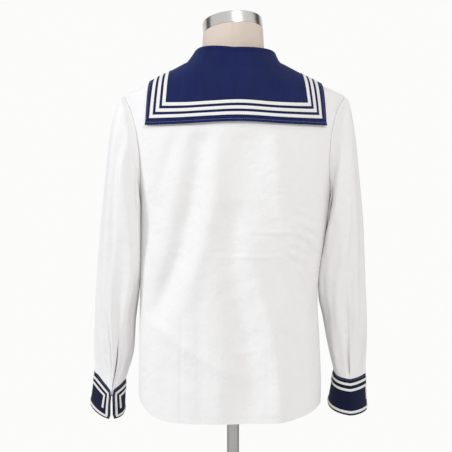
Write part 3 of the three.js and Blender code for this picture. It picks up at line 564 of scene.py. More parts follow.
def sleeve_grid(arm, columns=128):
    """Rows down a sleeve, closer together near the cuff and a little way into it, and columns round it from
    the slit's line."""
    at = np.r_[np.linspace(0, 7, 120), np.linspace(7, 9, 46)[1:]][:, None]
    half_open = SLIT["half_open"] / 45 * smooth((at - SLIT["from"]) / 1.2)
    angle = open_round(arm["slit"], half_open, np.linspace(0, 1, columns + 1)[None])
    grid = sleeve_point(arm, at, np.mod(angle, 2 * math.pi))
    closed = at[:, 0] <= SLIT["from"]
    grid[closed, -1] = grid[closed, 0]
    down = np.array(SLEEVE_END["down"])[:, None]
    inside = cuff_point(arm["cuff"], down, np.mod(angle[-1:], 2 * math.pi))
    middle = inside.mean(1, keepdims=True)
    grid = np.concatenate([grid, inside + unit(middle - inside) * SLEEVE_END["inset"]])
    return grid if arm["side"] < 0 else grid[:, ::-1]


def cuff_half_gap(down):
    """Half the gap between a cuff's ends: 2.4 mm, up to 4.6 more at the upper corner and 2.6 at the lower."""
    return 2.4 + 4.6 * smooth(1 - down / 18) + 2.6 * smooth((down - 64) / 12)


def cuff_turns(arm, rows=41, steps=1440):
    """For rows down a cuff, the length round each, and the turn from the slit at equal shares of it."""
    down = np.linspace(0, CUFF_HEIGHT, rows)
    turn = np.linspace(0, 2 * math.pi, steps + 1)
    line = cuff_point(arm["cuff"], down[:, None], arm["slit"] + turn[None])
    length = travelled(line, 1)
    shares = np.linspace(0, 1, steps + 1)
    return length[:, -1], np.stack([np.interp(shares, row / row[-1], turn) for row in length])


def between(grid, row, column):
    """A grid's value between its four nearest entries."""
    i = np.clip(row.astype(int), 0, grid.shape[0] - 2)
    j = np.clip(column.astype(int), 0, grid.shape[1] - 2)
    f, g = row - i, column - j
    return mix(mix(grid[i, j], grid[i, j + 1], g), mix(grid[i + 1, j], grid[i + 1, j + 1], g), f)


def cuff_place(arm, u, down):
    """A point of a cuff's face from its length along the cuff and its distance down. Lengths are measured on
    the cuff itself, and half the gap is left at each end."""
    if "turns" not in arm:
        arm["turns"] = cuff_turns(arm)
    totals, turns = arm["turns"]
    u, down = np.broadcast_arrays(np.asarray(u, float), np.asarray(down, float))
    row = down / CUFF_HEIGHT * (len(totals) - 1)
    total = np.interp(row, np.arange(len(totals)), totals)
    gap = cuff_half_gap(down)
    share = mix(gap, total - gap, u / CUFF_ROUND) / total
    turn = between(turns, row, share * (turns.shape[1] - 1))
    return cuff_point(arm["cuff"], down, arm["slit"] + turn)


def cuff_normal(arm, u, down):
    """The cross product of the steps along the cuff and up it, turned outwards."""
    along = cuff_place(arm, u + 0.4, down) - cuff_place(arm, u - 0.4, down)
    up = cuff_place(arm, u, down - 0.4) - cuff_place(arm, u, down + 0.4)
    return unit(np.cross(along, up)) * arm["side"]


def cuff_line(arm, line, place):
    """Points and normals along a line of corners on a cuff, each corner one whole number further along it."""
    line = np.array(line, float)
    u, d = (np.interp(place, np.arange(len(line)), line[:, i]) for i in (0, 1))
    return cuff_place(arm, u, d), cuff_normal(arm, u, d)


# The collar

BACK_ZONE, SIDE_ZONE, LAPEL_ZONE = 0, 1, 2


def side_inset(d, way):
    """How far inside the collar's side edge a row lies, seen from the back."""
    return np.where(way < 0, 1.1 * d - 5 * (1 - np.exp(-d / 6)), 0.82 * d + 0.0021 * d * d)


def collar_place(d, f, zone, side, share):
    """The height and the body's angle where a row crosses a column. A row is a distance d inside the collar's
    outer edge, and then a share f of the way from the last such row to the neckline."""
    neck_x = NECK_SIDE_X * math.cos(SIDE_NECK_ANGLE)

    def corner_x(way):
        edge = np.where(way < 0, COLLAR["left_x"], COLLAR["right_x"])
        return mix(edge - side_inset(d, way), neck_x, f)

    corner_z = mix(COLLAR["corner_z"] + d, NECK_Z, f)
    back_x = mix(-corner_x(-1), corner_x(1), share)
    bend = COLLAR["arch"] * np.sin(math.pi * share) ** 5 - COLLAR["sag"] * (1 - (2 * share - 1) ** 6)
    back_z = corner_z + bend * (1 - f)
    back_angle = angle_at(back_x, back_z, True)

    edge_x = np.where(side < 0, COLLAR["left_ridge_x"], COLLAR["right_ridge_x"])
    ridge_x = mix(edge_x - 1.02 * d, NECK_SIDE_X, f)
    top_z = ridge_z(side * ridge_x)
    side_x = side * mix(corner_x(side), ridge_x, share)
    side_z = mix(corner_z, top_z, 1 - (1 - share) ** 2)
    at_ridge = share > 0.999
    side_z = np.where(at_ridge, top_z, side_z)
    side_angle = np.where(at_ridge, np.where(side < 0, 0, math.pi), angle_at(side_x, side_z, True))

    slope = COLLAR["left_ridge_x"] / math.hypot(COLLAR["left_ridge_x"], COLLAR["ridge_z"] - COLLAR["lapel_z"])
    end_z = mix(COLLAR["lapel_z"] + d / slope, NECKLINE_V_Z, f)
    forward = share**1.7
    lapel_x = side * mix(ridge_x, LAPEL_HALF_GAP, forward)
    lapel_z = mix(top_z, end_z, forward)
    lapel_angle = angle_at(lapel_x, lapel_z, False)

    z = np.select([zone == BACK_ZONE, zone == SIDE_ZONE], [back_z, side_z], lapel_z)
    angle = np.select([zone == BACK_ZONE, zone == SIDE_ZONE], [back_angle, side_angle], lapel_angle)
    return z, angle


def collar_columns(lapel=64, side=24, back=72):
    """The collar's columns, from the left lapel's end round the neck to the right lapel's end."""
    shares = np.r_[
        np.arange(lapel, 0, -1) / lapel, np.arange(side, 0, -1) / side, np.arange(back + 1) / back,
        np.arange(1, side + 1) / side, np.arange(1, lapel + 1) / lapel,
    ]
    order = [LAPEL_ZONE, SIDE_ZONE, BACK_ZONE, SIDE_ZONE, LAPEL_ZONE]
    zones = np.repeat(order, [lapel, side, back + 1, side, lapel])
    sides = np.repeat([-1, 1], [lapel + side, back + 1 + side + lapel])
    return zones, sides, shares


def collar_lift(zone, share):
    """The collar's height over the body: even, with four low soft waves across the back."""
    waves = 0.5 - 0.5 * np.cos(2 * math.pi * (4.3 * share + 0.35 * np.sin(5 * share)))
    return COLLAR_LIFT + 0.9 * waves * np.sin(math.pi * share) * (zone == BACK_ZONE)


def on_collar(d, columns, extra=0.0):
    """The collar's flat part: d inside its outer edge, lifted off the body."""
    zone, side, share = columns
    z, angle = collar_place(d, 0, zone, side, share)
    curl = 1.6 * smooth(1 - d / 26) * (zone == BACK_ZONE)
    return keep_sides(off_body(z, angle, collar_lift(zone, share) + curl + extra), columns)


def keep_sides(points, columns):
    """The two lapels' ends meet at the middle without crossing it."""
    zone, side, _ = columns
    kept = side * np.maximum(side * points[..., 0], LAPEL_HALF_GAP)
    points[..., 0] = np.where(zone == LAPEL_ZONE, kept, points[..., 0])
    return points


def collar_grid(columns):
    """Rows over the flat part, then a smooth curve that rises, rolls over the top and ends at the
    neckline."""
    zone, side, share = columns
    last = COLLAR["flat_to"]
    flat_rows = [on_collar(np.full(share.shape, d), columns) for d in np.linspace(0, last, 30)]

    def lying(f):
        z, angle = collar_place(last, f, zone, side, share)
        return off_body(z, angle, collar_lift(zone, share))

    seam_z, seam_angle = collar_place(last, 1, zone, side, share)
    seam = body_point(seam_z, seam_angle, False)
    standing = np.where(zone == LAPEL_ZONE, 1 - smooth((share - 0.12) / 0.75), 1.0)
    normal = body_normal(seam_z, seam_angle)
    steps = []
    for moved in (np.maximum(share - 0.02, 0), np.minimum(share + 0.02, 0.998)):
        z, angle = collar_place(last, 1, zone, side, moved)
        steps.append(body_point(z, angle, False))
    tangent = unit(steps[1] - steps[0]) * np.where((zone != BACK_ZONE) & (side < 0), -1, 1)[..., None]
    inward = unit(np.cross(normal, tangent))
    up = unit(mix(normal, np.array([0, 0, 1.0]), 0.6 * standing[..., None]))
    height = COLLAR["stand"]
    to_side = np.abs(np.cos(seam_angle))
    lean = np.where(np.cos(seam_angle) > 0, COLLAR["lean_left"], COLLAR["lean_right"]) * to_side * standing

    def from_seam(e, k):
        return seam + inward * (e + lean * max(k, 0) / height)[..., None] + up * k

    stood = standing[..., None]
    rising = []
    for up_share, flat_share in ((0.2, 0.1), (0.4, 0.2), (0.58, 0.3), (0.74, 0.4)):
        rising.append(lying(mix(flat_share, up_share, standing)))
    roll = [
        mix(lying(0.52), from_seam(-7.5, 0.7 * height), stood),
        mix(lying(0.64), from_seam(-4, 0.97 * height), stood),
        mix(lying(0.77), from_seam(0.2, height), stood),
        mix(lying(0.9), from_seam(2.8, 0.62 * height), stood),
        mix(from_seam(2.4, COLLAR_LIFT), from_seam(2.4, -0.2), stood),
    ]
    curve = through([flat_rows[-1], *rising, *roll], [5, 4, 4, 4, 4, 4, 4, 4, 4])
    rows = np.concatenate([np.array(flat_rows[:-1]), curve])
    return keep_sides(rows, (zone, side, share))


# Meshes

def grid_faces(grid, start=0):
    """Four corners for each cell of a grid whose points are numbered from start."""
    ids = np.arange(grid.shape[0] * grid.shape[1]).reshape(grid.shape[:2]) + start
    return np.stack([ids[:-1, :-1], ids[:-1, 1:], ids[1:, 1:], ids[1:, :-1]], -1).reshape(-1, 4)


def grid_uv(grid):
    """Distances along the rows, counted from the middle column, and up the columns, in metres."""
    along = travelled(grid, 1)
    along -= along[:, grid.shape[1] // 2][:, None]
    return np.stack([along, travelled(grid)], -1) / 1000


def welded(points, faces, uv):
    """Points that coincide are made one."""
    _, first, new = np.unique(np.round(points, 3), axis=0, return_index=True, return_inverse=True)
    return points[first], new.reshape(-1)[faces], uv[first]


def point_normals(points, faces):
    """At each point the sum of its faces' normals, each the cross product of the face's diagonals."""
    a, b, c, d = (points[faces[:, i]] for i in range(4))
    face = np.cross(c - a, d - b)
    total = np.zeros_like(points)
    for i in range(4):
        np.add.at(total, faces[:, i], face)
    return unit(total)


def wall(points, faces, uv, low, high):
    """The closed wall over a surface between two heights above it: the surface moved out along its normals,
    the same moved in and turned over, and a rim along every edge that only one face uses."""
    normals = point_normals(points, faces)
    square = np.abs(points[:, 1]) < SEAM
    normals[square, 1] = 0
    normals = unit(normals)
    count = len(points)
    edges = np.concatenate([faces[:, [0, 1]], faces[:, [1, 2]], faces[:, [2, 3]], faces[:, [3, 0]]])
    edges = edges[edges[:, 0] != edges[:, 1]]
    keys = edges[:, 0] * count + edges[:, 1]
    back = edges[:, 1] * count + edges[:, 0]
    rim = edges[~np.isin(keys, back)]
    sides = np.stack([rim[:, 1], rim[:, 0], rim[:, 0] + count, rim[:, 1] + count], -1)
    corners = np.concatenate([points + normals * high, points + normals * low])
    return corners, np.concatenate([faces, faces[:, ::-1] + count, sides]), np.concatenate([uv, uv])


def make_piece(name, points, faces, uv, material):
    """Puts points in millimetres and four-cornered faces into a mesh. A face with a doubled corner is a
    triangle."""
    doubled = faces == np.roll(faces, -1, axis=1)
    whole = faces[~doubled.any(1)]
    threes = faces[doubled.sum(1) == 1]
    kept = threes[~doubled[doubled.sum(1) == 1]].reshape(-1, 3)
    loops = np.concatenate([whole.reshape(-1), kept.reshape(-1)])
    sizes = np.concatenate([np.full(len(whole), 4), np.full(len(kept), 3)])
    used, loops = np.unique(loops, return_inverse=True)
    mesh = bpy.data.meshes.new(name)
    mesh.vertices.add(len(used))
    mesh.vertices.foreach_set("co", (points[used] / 1000).astype(np.float32).reshape(-1))
    mesh.loops.add(len(loops))
    mesh.loops.foreach_set("vertex_index", loops.reshape(-1).astype(np.int32))
    mesh.polygons.add(len(sizes))
    mesh.polygons.foreach_set("loop_start", np.concatenate([[0], np.cumsum(sizes)[:-1]]).astype(np.int32))
    mesh.polygons.foreach_set("use_smooth", np.ones(len(sizes), bool))
    mesh.update(calc_edges=True)
    layer = mesh.uv_layers.new(name="cloth")
    layer.data.foreach_set("uv", uv[used][loops.reshape(-1)].astype(np.float32).reshape(-1))
    mesh.validate()
    mesh.materials.append(material)
    piece = bpy.data.objects.new(name, mesh)
    bpy.context.scene.collection.objects.link(piece)
    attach(piece, "root")
    return piece


def sharp_edges(piece, degrees=50):
    """Keeps edges sharper than the given angle crisp while the rest is shaded smoothly."""
    piece.data.set_sharp_from_angle(angle=math.radians(degrees))


def cloth_piece(name, grids, low, high, material):
    """A cloth wall over one or more grids whose points meet."""
    points, faces, uvs, count = [], [], [], 0
    for grid in grids:
        points.append(grid.reshape(-1, 3))
        uvs.append(grid_uv(grid).reshape(-1, 2))
        faces.append(grid_faces(grid, count))
        count += len(points[-1])
    points, faces, uv = welded(np.concatenate(points), np.concatenate(faces), np.concatenate(uvs))
    piece = make_piece(name, *wall(points, faces, uv, low, high), material)
    sharp_edges(piece)
    return piece


def tape_piece(name, lines, normals, material):
    """A tape between two lines on a face, with a low crown across it: crown * sin(pi * share)."""
    share = np.linspace(0, 1, TAPE_ROWS)[:, None, None]
    grid = mix(lines[0][None], lines[1][None], share) + normals[None] * TAPE_CROWN * np.sin(math.pi * share)
    return cloth_piece(name, [grid], TAPE_LIFT, TAPE_LIFT + TAPE, material)


def closed_piece(name, grid, uv, material, degrees, place=lambda points: points):
    """A form whose grid meets itself all the way round and ends in a point at both ends."""
    points, faces, uv = welded(grid.reshape(-1, 3), grid_faces(grid), uv.reshape(-1, 2))
    piece = make_piece(name, place(points), faces, uv, material)
    sharp_edges(piece, degrees)
    return piece


def lathe(profile, segments):
    """A profile of radii and heights turned round the Z axis."""
    profile = np.array(profile, float)
    angle = np.arange(segments + 1) / segments * 2 * math.pi
    ring = np.stack([np.cos(angle), np.sin(angle)], -1)
    radius, height = profile[:, 0][:, None], profile[:, 1][:, None]
    x, y = radius * ring[:, 0], radius * ring[:, 1]
    grid = np.stack(np.broadcast_arrays(x, y, height), -1)
    grid[:, -1] = grid[:, 0]
    round_it = angle * max(profile[:, 0].max(), 1)
    uv = np.stack(np.broadcast_arrays(round_it, travelled(profile)[:, None]), -1) / 1000
    return grid, uv


def turned_piece(name, profile, segments, material, place=lambda points: points):
    """A closed lathe form; its profile starts and ends on the axis."""
    return closed_piece(name, *lathe(profile, segments), material, 40, place)


def rounded(x, z, radius, steps):
    """A profile's quarter circle about (x, z), outwards to the top; with radius below 0, a fillet inwards."""
    angles = np.linspace(math.pi / 2, 0, steps)[::1 if radius > 0 else -1]
    return [(x + radius * math.sin(a), z + radius * math.cos(a)) for a in angles]


def tilted(points, tilt_x, tilt_y):
    """Points turned about X by the first angle and then about Y by the second, both in degrees."""
    a, b = math.radians(tilt_x), math.radians(tilt_y)
    turn_x = np.array([[1, 0, 0], [0, math.cos(a), -math.sin(a)], [0, math.sin(a), math.cos(a)]])
    turn_y = np.array([[math.cos(b), 0, math.sin(b)], [0, 1, 0], [-math.sin(b), 0, math.cos(b)]])
    return points @ (turn_y @ turn_x).T


def read_line(points, along, at):
    """A line's points at given distances from its start."""
    return np.stack([np.interp(at, along, points[:, i]) for i in range(3)], -1)


def even_path(points, step):
    """Places at equal steps along a line of points, and the way the line runs there."""
    along = travelled(points)
    count = max(int(along[-1] / step), 1)
    at = (np.arange(count) + 0.5) * along[-1] / count
    place, ahead, behind = (read_line(points, along, at + moved) for moved in (0, 0.4, -0.4))
    return place, unit(ahead - behind), at, along


def stitch_row(name, runs, material, long=2.4, step=3.4, radius=0.32):
    """Stitches along lines on a face: each is a thread of four sides, pointed at both ends and half sunk in
    the cloth."""
    profile = np.array([(-0.5, 0), (-0.36, 1), (0.36, 1), (0.5, 0)])
    turn = np.arange(4) * math.pi / 2 + math.pi / 4
    points, faces, count = [], [], 0
    for line, normals in runs:
        place, tangent, at, along = even_path(line, step)
        normal = read_line(normals, along, at)
        across = unit(np.cross(tangent, normal))
        normal = unit(np.cross(across, tangent))
        ring = (across[:, None, None] * np.cos(turn)[None, None, :, None]
                + normal[:, None, None] * np.sin(turn)[None, None, :, None])
        stitch = (place[:, None, None] + tangent[:, None, None] * (profile[:, 0] * long)[None, :, None, None]
                  + ring * (profile[:, 1] * radius)[None, :, None, None])
        ids = np.arange(len(place) * 16).reshape(len(place), 4, 4) + count
        ids = np.concatenate([ids, ids[:, :, :1]], 2)
        cells = np.stack([ids[:, :-1, :-1], ids[:, :-1, 1:], ids[:, 1:, 1:], ids[:, 1:, :-1]], -1)
        points.append(stitch.reshape(-1, 3))
        faces.append(cells.reshape(-1, 4))
        count += len(place) * 16
    points, faces = np.concatenate(points), np.concatenate(faces)
    points, faces, _ = welded(points, faces, np.zeros((len(points), 2)))
    return make_piece(name, points, faces, points[:, :2] / 1000, material)


# Materials

class Socket:
    """A number from a material's nodes. Sums and products of it add Math nodes, so 1 - mask works."""

    def __init__(self, looks, socket):
        self.looks, self.socket = looks, socket

    def _math(self, operation, first, second):
        return self.looks.node("ShaderNodeMath", {"operation": operation}, {0: first, 1: second})

    def __add__(self, other):
        return self._math("ADD", self, other)

    def __radd__(self, other):
        return self._math("ADD", other, self)

    def __sub__(self, other):
        return self._math("SUBTRACT", self, other)

    def __rsub__(self, other):
        return self._math("SUBTRACT", other, self)

    def __mul__(self, other):
        return self._math("MULTIPLY", self, other)

    def __rmul__(self, other):
        return self._math("MULTIPLY", other, self)


class Looks:
    """One material, built from nodes round a Principled shader."""

    def __init__(self, name, constants):
        self.material = bpy.data.materials.new(name)
        self.material.use_nodes = True
        self.tree = self.material.node_tree
        self.shader = self.tree.nodes["Principled BSDF"]
        for socket, value in constants.items():
            self.shader.inputs[socket].default_value = value
        self.uv = self.node("ShaderNodeUVMap", {"uv_map": "cloth"}, {}, "UV")

    def node(self, kind, settings, inputs, output=0):
        """Adds a node: its settings first, then a value or a link for each input. Returns one output."""
        made = self.tree.nodes.new(kind)
        for name, value in settings.items():
            setattr(made, name, value)
        for name, value in inputs.items():
            if isinstance(value, Socket):
                self.tree.links.new(value.socket, made.inputs[name])
            else:
                made.inputs[name].default_value = value
        return Socket(self, made.outputs[output])

    def feed(self, name, value):
        self.tree.links.new(value.socket, self.shader.inputs[name])

    def split(self, vector):
        made = self.tree.nodes.new("ShaderNodeSeparateXYZ")
        self.tree.links.new(vector.socket, made.inputs[0])
        return [Socket(self, out) for out in made.outputs]

    def scaled(self, vector, x, y, z=1.0):
        return self.node("ShaderNodeMapping", {}, {"Vector": vector, "Scale": (x, y, z)})

    def noise(self, vector, scale, detail=2.0, rough=0.5):
        inputs = {"Vector": vector, "Scale": scale, "Detail": detail, "Roughness": rough}
        return self.node("ShaderNodeTexNoise", {"noise_dimensions": "3D"}, inputs, "Fac")

    def wave(self, number, turns):
        """sin(2 pi * number * turns), from -1 to 1."""
        return self.node("ShaderNodeMath", {"operation": "SINE"}, {0: number * (2 * math.pi * turns)})

    def colour(self, factor, colour, dark, light):
        """The surface's colour: between two tints of one colour, by a number from 0 to 1."""
        settings = {"data_type": "RGBA", "clamp_factor": True}
        inputs = {0: factor, 6: (*tinted(colour, dark), 1), 7: (*tinted(colour, light), 1)}
        self.feed("Base Color", self.node("ShaderNodeMix", settings, inputs, 2))

    def bump(self, height, distance, strength=1.0, normal=None):
        inputs = {"Height": height, "Distance": distance, "Strength": strength}
        if normal is not None:
            inputs["Normal"] = normal
        return self.node("ShaderNodeBump", {}, inputs, "Normal")

    @property
    def place(self):
        return self.node("ShaderNodeTexCoord", {}, {}, "Object")


def tinted(colour, by):
    return tuple(min(c * by, 1) for c in colour)


def twill_looks(name, colour, slub_and_crease_shade, crumple, sheen, crease_relief_and_shade=0.0):
    """Twill: fine diagonal ridges, slightly uneven threads, a soft crumple at two sizes, and long upright
    creases where asked. Those creases are a bump and are also painted into the colour as streaks of shade and
    light."""
    looks = Looks(name, {"Sheen Weight": sheen, "Sheen Roughness": 0.6, "Specular IOR Level": 0.2})
    u, v, _ = looks.split(looks.uv)
    uneven = looks.noise(looks.scaled(looks.uv, 60, 900), 1.0, 2)
    ridge = looks.wave(u + v * 1.6 + uneven * 0.0004, 1 / 0.0016) * 0.5 + 0.5
    pick = looks.wave(v - u * 0.4, 1 / 0.0011) * 0.5 + 0.5
    broad = looks.noise(looks.place, 9, 3)
    fibre = looks.noise(looks.scaled(looks.uv, 240, 1400), 1.0, 3)
    upright = looks.noise(looks.scaled(looks.place, 46, 20, 5), 1.0, 2)
    # Colour: random tone from broad, fibre and ridge, plus painted shade and light along the upright creases
    shade = (broad * 0.45 + fibre * 0.35 + ridge * 0.2) * (1 - 0.2 * crease_relief_and_shade) + upright * (0.2 * crease_relief_and_shade)
    looks.colour(shade, colour, 1 - slub_and_crease_shade, 1 + slub_and_crease_shade)
    looks.feed("Roughness", 0.82 + fibre * 0.14)
    soft = looks.noise(looks.place, 34, 2) + looks.noise(looks.place, 90, 2) * 0.3
    crumpled = looks.bump(soft + upright * crease_relief_and_shade, crumple)
    looks.feed("Normal", looks.bump(ridge * 0.7 + pick * 0.3, 0.00012, 0.6, crumpled))
    return looks.material


def tape_looks(colour):
    """Flat tape: fine ribs along it and finer picks across, with a slight gloss."""
    looks = Looks("white_tape", {"Sheen Weight": 0.1, "Specular IOR Level": 0.35})
    u, v, _ = looks.split(looks.uv)
    rib = looks.wave(v, 1 / 0.0009) * 0.5 + 0.5
    pick = looks.wave(u + v * 0.5, 1 / 0.0008) * 0.5 + 0.5
    worn = looks.noise(looks.place, 45, 3)
    looks.colour(worn * 0.6 + rib * 0.4, colour, 0.93, 1.04)
    looks.feed("Roughness", 0.6 + worn * 0.2)
    looks.feed("Normal", looks.bump(rib * 0.5 + pick * 0.5, 0.00012, 0.7))
    return looks.material


def jersey_looks(colour):
    """Jersey drawn tight: fine upright ribs of stitches, with a faint mottle."""
    looks = Looks("form_jersey", {"Sheen Weight": 0.2, "Sheen Roughness": 0.5, "Specular IOR Level": 0.2})
    u, v, _ = looks.split(looks.uv)
    loops = looks.wave(u, 1 / 0.0013) * (looks.wave(v, 1 / 0.001) * 0.3 + 0.7) * 0.5 + 0.5
    mottle = looks.noise(looks.place, 30, 3)
    looks.colour(mottle * 0.6 + loops * 0.4, colour, 0.94, 1.05)
    looks.feed("Roughness", 0.85 + mottle * 0.1)
    looks.feed("Normal", looks.bump(loops, 0.0002, 0.7))
    return looks.material


def steel_looks(name, colour, rough):
    """Steel brushed round the turned form: scratches are noise drawn out along the brushing."""
    looks = Looks(name, {"Metallic": 1.0})
    lines = looks.noise(looks.scaled(looks.uv, 6, 2600), 1.0, 4, 0.6)
    smudge = looks.noise(looks.place, 22, 2)
    looks.colour(lines * 0.6 + smudge * 0.4, colour, 0.9, 1.06)
    looks.feed("Roughness", rough + lines * 0.12 + smudge * 0.05)
    looks.feed("Normal", looks.bump(lines, 0.00003, 0.5))
    return looks.material


def plain_looks(name, colour, rough):
    """A plain thread or studio surface with a faint variation."""
    looks = Looks(name, {"Specular IOR Level": 0.2})
    grain = looks.noise(looks.place, 300, 2)
    looks.colour(grain, colour, 0.97, 1.02)
    looks.feed("Roughness", rough + grain * 0.05)
    return looks.material


# What a user would change

def colour_setting(name, description, default):
    return FloatVectorProperty(
        name=name, description=description, default=default, subtype="COLOR", min=0, max=1)


def length_setting(name, description, default, low, high):
    return FloatProperty(
        name=name, description=description, default=default, min=low, max=high, subtype="DISTANCE",
        unit="LENGTH")


def power_setting(name, description, default):
    return FloatProperty(
        name=name, description=description, default=default, min=0, max=500, subtype="POWER", unit="POWER")


class JumperCloth(bpy.types.PropertyGroup):
    thickness: length_setting("Cloth thickness", "Thickness of the twill", CLOTH / 1000, 0.0005, 0.003)
    white: colour_setting("White", "Colour of the white twill", (0.878, 0.864, 0.856))
    navy: colour_setting("Navy", "Colour of the navy twill", (0.0065, 0.0135, 0.078))
    tape: colour_setting("Tape", "Colour of the white tape", (0.84, 0.82, 0.78))
    crumple: length_setting("Crumple", "Height of the finest crumples of the cloth", 0.0024, 0, 0.01)


class FormAndStand(bpy.types.PropertyGroup):
    jersey: colour_setting("Jersey", "Colour of the form's jersey", (0.735, 0.62, 0.535))
    steel: colour_setting("Steel", "Colour of the ring, the pole and the base", (0.58, 0.57, 0.55))
    roughness: FloatProperty(
        name="Brushing", description="Roughness of the brushed steel", default=0.18, min=0, max=1,
        subtype="FACTOR")


class Studio(bpy.types.PropertyGroup):
    backdrop: colour_setting("Backdrop", "Colour of the studio's air", (0.965, 0.967, 0.96))
    ambient: FloatProperty(
        name="Ambient", description="Strength of the even light all round", default=0.555, min=0, max=4)
    key: power_setting("Key light", "Power of the light from the left", 108.0)
    fill: power_setting("Fill light", "Power of the light over the camera", 31.0)
    warm: power_setting("Warm light", "Power of the warm light from the right", 3.2)


MADE = {}  # materials by name, made once for all operators


def material(name):
    cloth, stand = bpy.context.scene.jumper_cloth, bpy.context.scene.jumper_stand
    finer = cloth.crumple * 0.7
    makers = {
        "white_twill": lambda: twill_looks(name, cloth.white, 0.02, cloth.crumple, 0.1),
        # The collar's navy has strong streaks of painted crease shade and light in its colour
        "navy_twill": lambda: twill_looks(name, cloth.navy, 0.5, finer, 0.03, 3),
        # The cuffs are the collar's navy darkened to 0.38: painted shade where less light reaches the sleeves'
        # ends
        "navy_cuffs_painted_shade": lambda: twill_looks(name, tinted(cloth.navy, 0.38), 0.26, finer, 0.03, 1),
        "white_tape": lambda: tape_looks(cloth.tape),
        "form_jersey": lambda: jersey_looks(stand.jersey),
        "neck_steel": lambda: steel_looks(name, stand.steel, stand.roughness),
        # The pole and base are the ring's steel darkened to 0.72: painted shade
        "stand_steel": lambda: steel_looks(name, tinted(stand.steel, 0.72), stand.roughness + 0.04),
        "white_thread": lambda: plain_looks(name, (0.84, 0.84, 0.84), 0.7),
        "pale_thread": lambda: plain_looks(name, (0.30, 0.34, 0.48), 0.7),
    }
    if name not in MADE:
        MADE[name] = makers[name]()
    return MADE[name]


def stands_for(node):
    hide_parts(node)


# Operators

class JUMPER_OT_form(bpy.types.Operator):
    """Make the limbless dress form, with its neck and the seam down the back of it"""

    bl_idname = "jumper.form"
    bl_label = "Dress form"

    def execute(self, context):
        columns = 128
        angle = np.arange(columns + 1) / columns * 2 * math.pi
        foot, chest = np.linspace(FORM_FOOT_Z, 668, 5), np.linspace(680, SHOULDER_Z, 40)
        heights = np.r_[foot, chest, np.linspace(1252, 1308, 12)][:, None]
        inset = np.maximum(row_at(FORM, "z", heights)["inset"], 3)
        base = np.maximum(heights, 660)
        torso = body_point(base, angle[None], False) - body_normal(base, angle[None]) * inset[..., None]
        torso[..., 2] = np.where(heights < 1200, heights, torso[..., 2])
        up = np.r_[NECK_Z, 1320, np.linspace(1325, NECK_RING["z"], 24)][:, None]
        ring = row_at(NECK, "z", up)
        seam = 0.9 * np.exp(-((angle[None] - math.pi / 2 - 0.06) / 0.03) ** 2)
        x = -(ring["wide"] - seam) * np.cos(angle)
        y = ring["y"] - (ring["deep"] - seam) * np.sin(angle)
        tilt_x, tilt_y = (math.tan(math.radians(NECK_RING[name])) for name in ("tilt_x", "tilt_y"))
        lean = smooth((up - 1330) / 40) * (y * tilt_x - x * tilt_y)
        neck = np.stack(np.broadcast_arrays(x, y, up - 0.4 + lean), -1)
        grid = np.concatenate([torso, neck])
        grid[:, -1] = grid[:, 0]
        uv = grid_uv(grid)
        ends = [np.repeat(grid[i].mean(0)[None, None], columns + 1, 1) for i in (0, -1)]
        grid = np.concatenate([ends[0], grid, ends[1]])
        uv = np.concatenate([uv[:1], uv, uv[-1:]])
        piece = closed_piece("form_cover", grid, uv, material("form_jersey"), 60)
        stands_for("form_torso")
        return {"FINISHED"}


class JUMPER_OT_stand(bpy.types.Operator):
    """Make the steel neck ring, the pole and the round base"""

    bl_idname = "jumper.stand"
    bl_label = "Ring, pole and base"

    def execute(self, context):
        ring = NECK_RING
        r, h = ring["radius"], ring["height"]
        profile = [(0, 0), (r - 0.4, 0), (r, 0.4), *rounded(r - 2, h - 2, 2, 7), (r - 8, h + 1),
                   (r - 30, h + 2.4), (0, h + 3)]
        middle = (ring["x"], ring["y"], ring["z"])
        piece = turned_piece("neck_ring", profile, 160, material("neck_steel"),
                             lambda points: tilted(points, ring["tilt_x"], ring["tilt_y"]) + middle)
        stands_for("neck_cap")

        r, low, high = POLE_RADIUS, BASE["thick"] + 0.3, FORM_FOOT_Z - 0.3
        rod = [(0, low), (r - 0.5, low), (r, low + 0.5), (r, mix(low, high, 0.5)), (r, high - 0.5),
               (r - 0.5, high), (0, high)]
        piece = turned_piece("steel_pole", rod, 96, material("stand_steel"))
        stands_for("pole")

        radius, thick, boss, top = BASE["radius"], BASE["thick"], BASE["boss_radius"], BASE["boss_top"]
        plate = [
            (0, 0), (radius - 1, 0), (radius, 1), *rounded(radius - 4, thick - 4, 4, 9), (100, thick),
            *rounded(boss + 5, thick + 5, -5, 7), *rounded(boss - 2, top - 2, 2, 6), (BASE["socket"], top),
            (BASE["socket"], thick), (0, thick),
        ]
        piece = turned_piece("round_base", plate, 160, material("stand_steel"))
        stands_for("base_disc")
        return {"FINISHED"}


class JUMPER_OT_body(bpy.types.Operator):
    """Make the back and the front, with their folds"""

    bl_idname = "jumper.body"
    bl_label = "Back and front"

    def execute(self, context):
        thick = context.scene.jumper_cloth.thickness * 1000
        back = cloth_piece("back_cloth", [back_grid()], -thick, 0, material("white_twill"))
        stands_for("back_panel")
        front = cloth_piece("front_cloth", list(front_grids()), -thick, 0, material("white_twill"))
        stands_for("front_panel")
        return {"FINISHED"}


class JUMPER_OT_sleeves(bpy.types.Operator):
    """Make the two sleeves, gathered into their cuffs and slit above them"""

    bl_idname = "jumper.sleeves"
    bl_label = "Sleeves"

    def execute(self, context):
        thick = context.scene.jumper_cloth.thickness * 1000
        for arm in (LEFT, RIGHT):
            name = f"sleeve_{arm['name']}"
            piece = cloth_piece(f"{name}_cloth", [sleeve_grid(arm)], -thick, 0, material("white_twill"))
            stands_for(name)
        return {"FINISHED"}


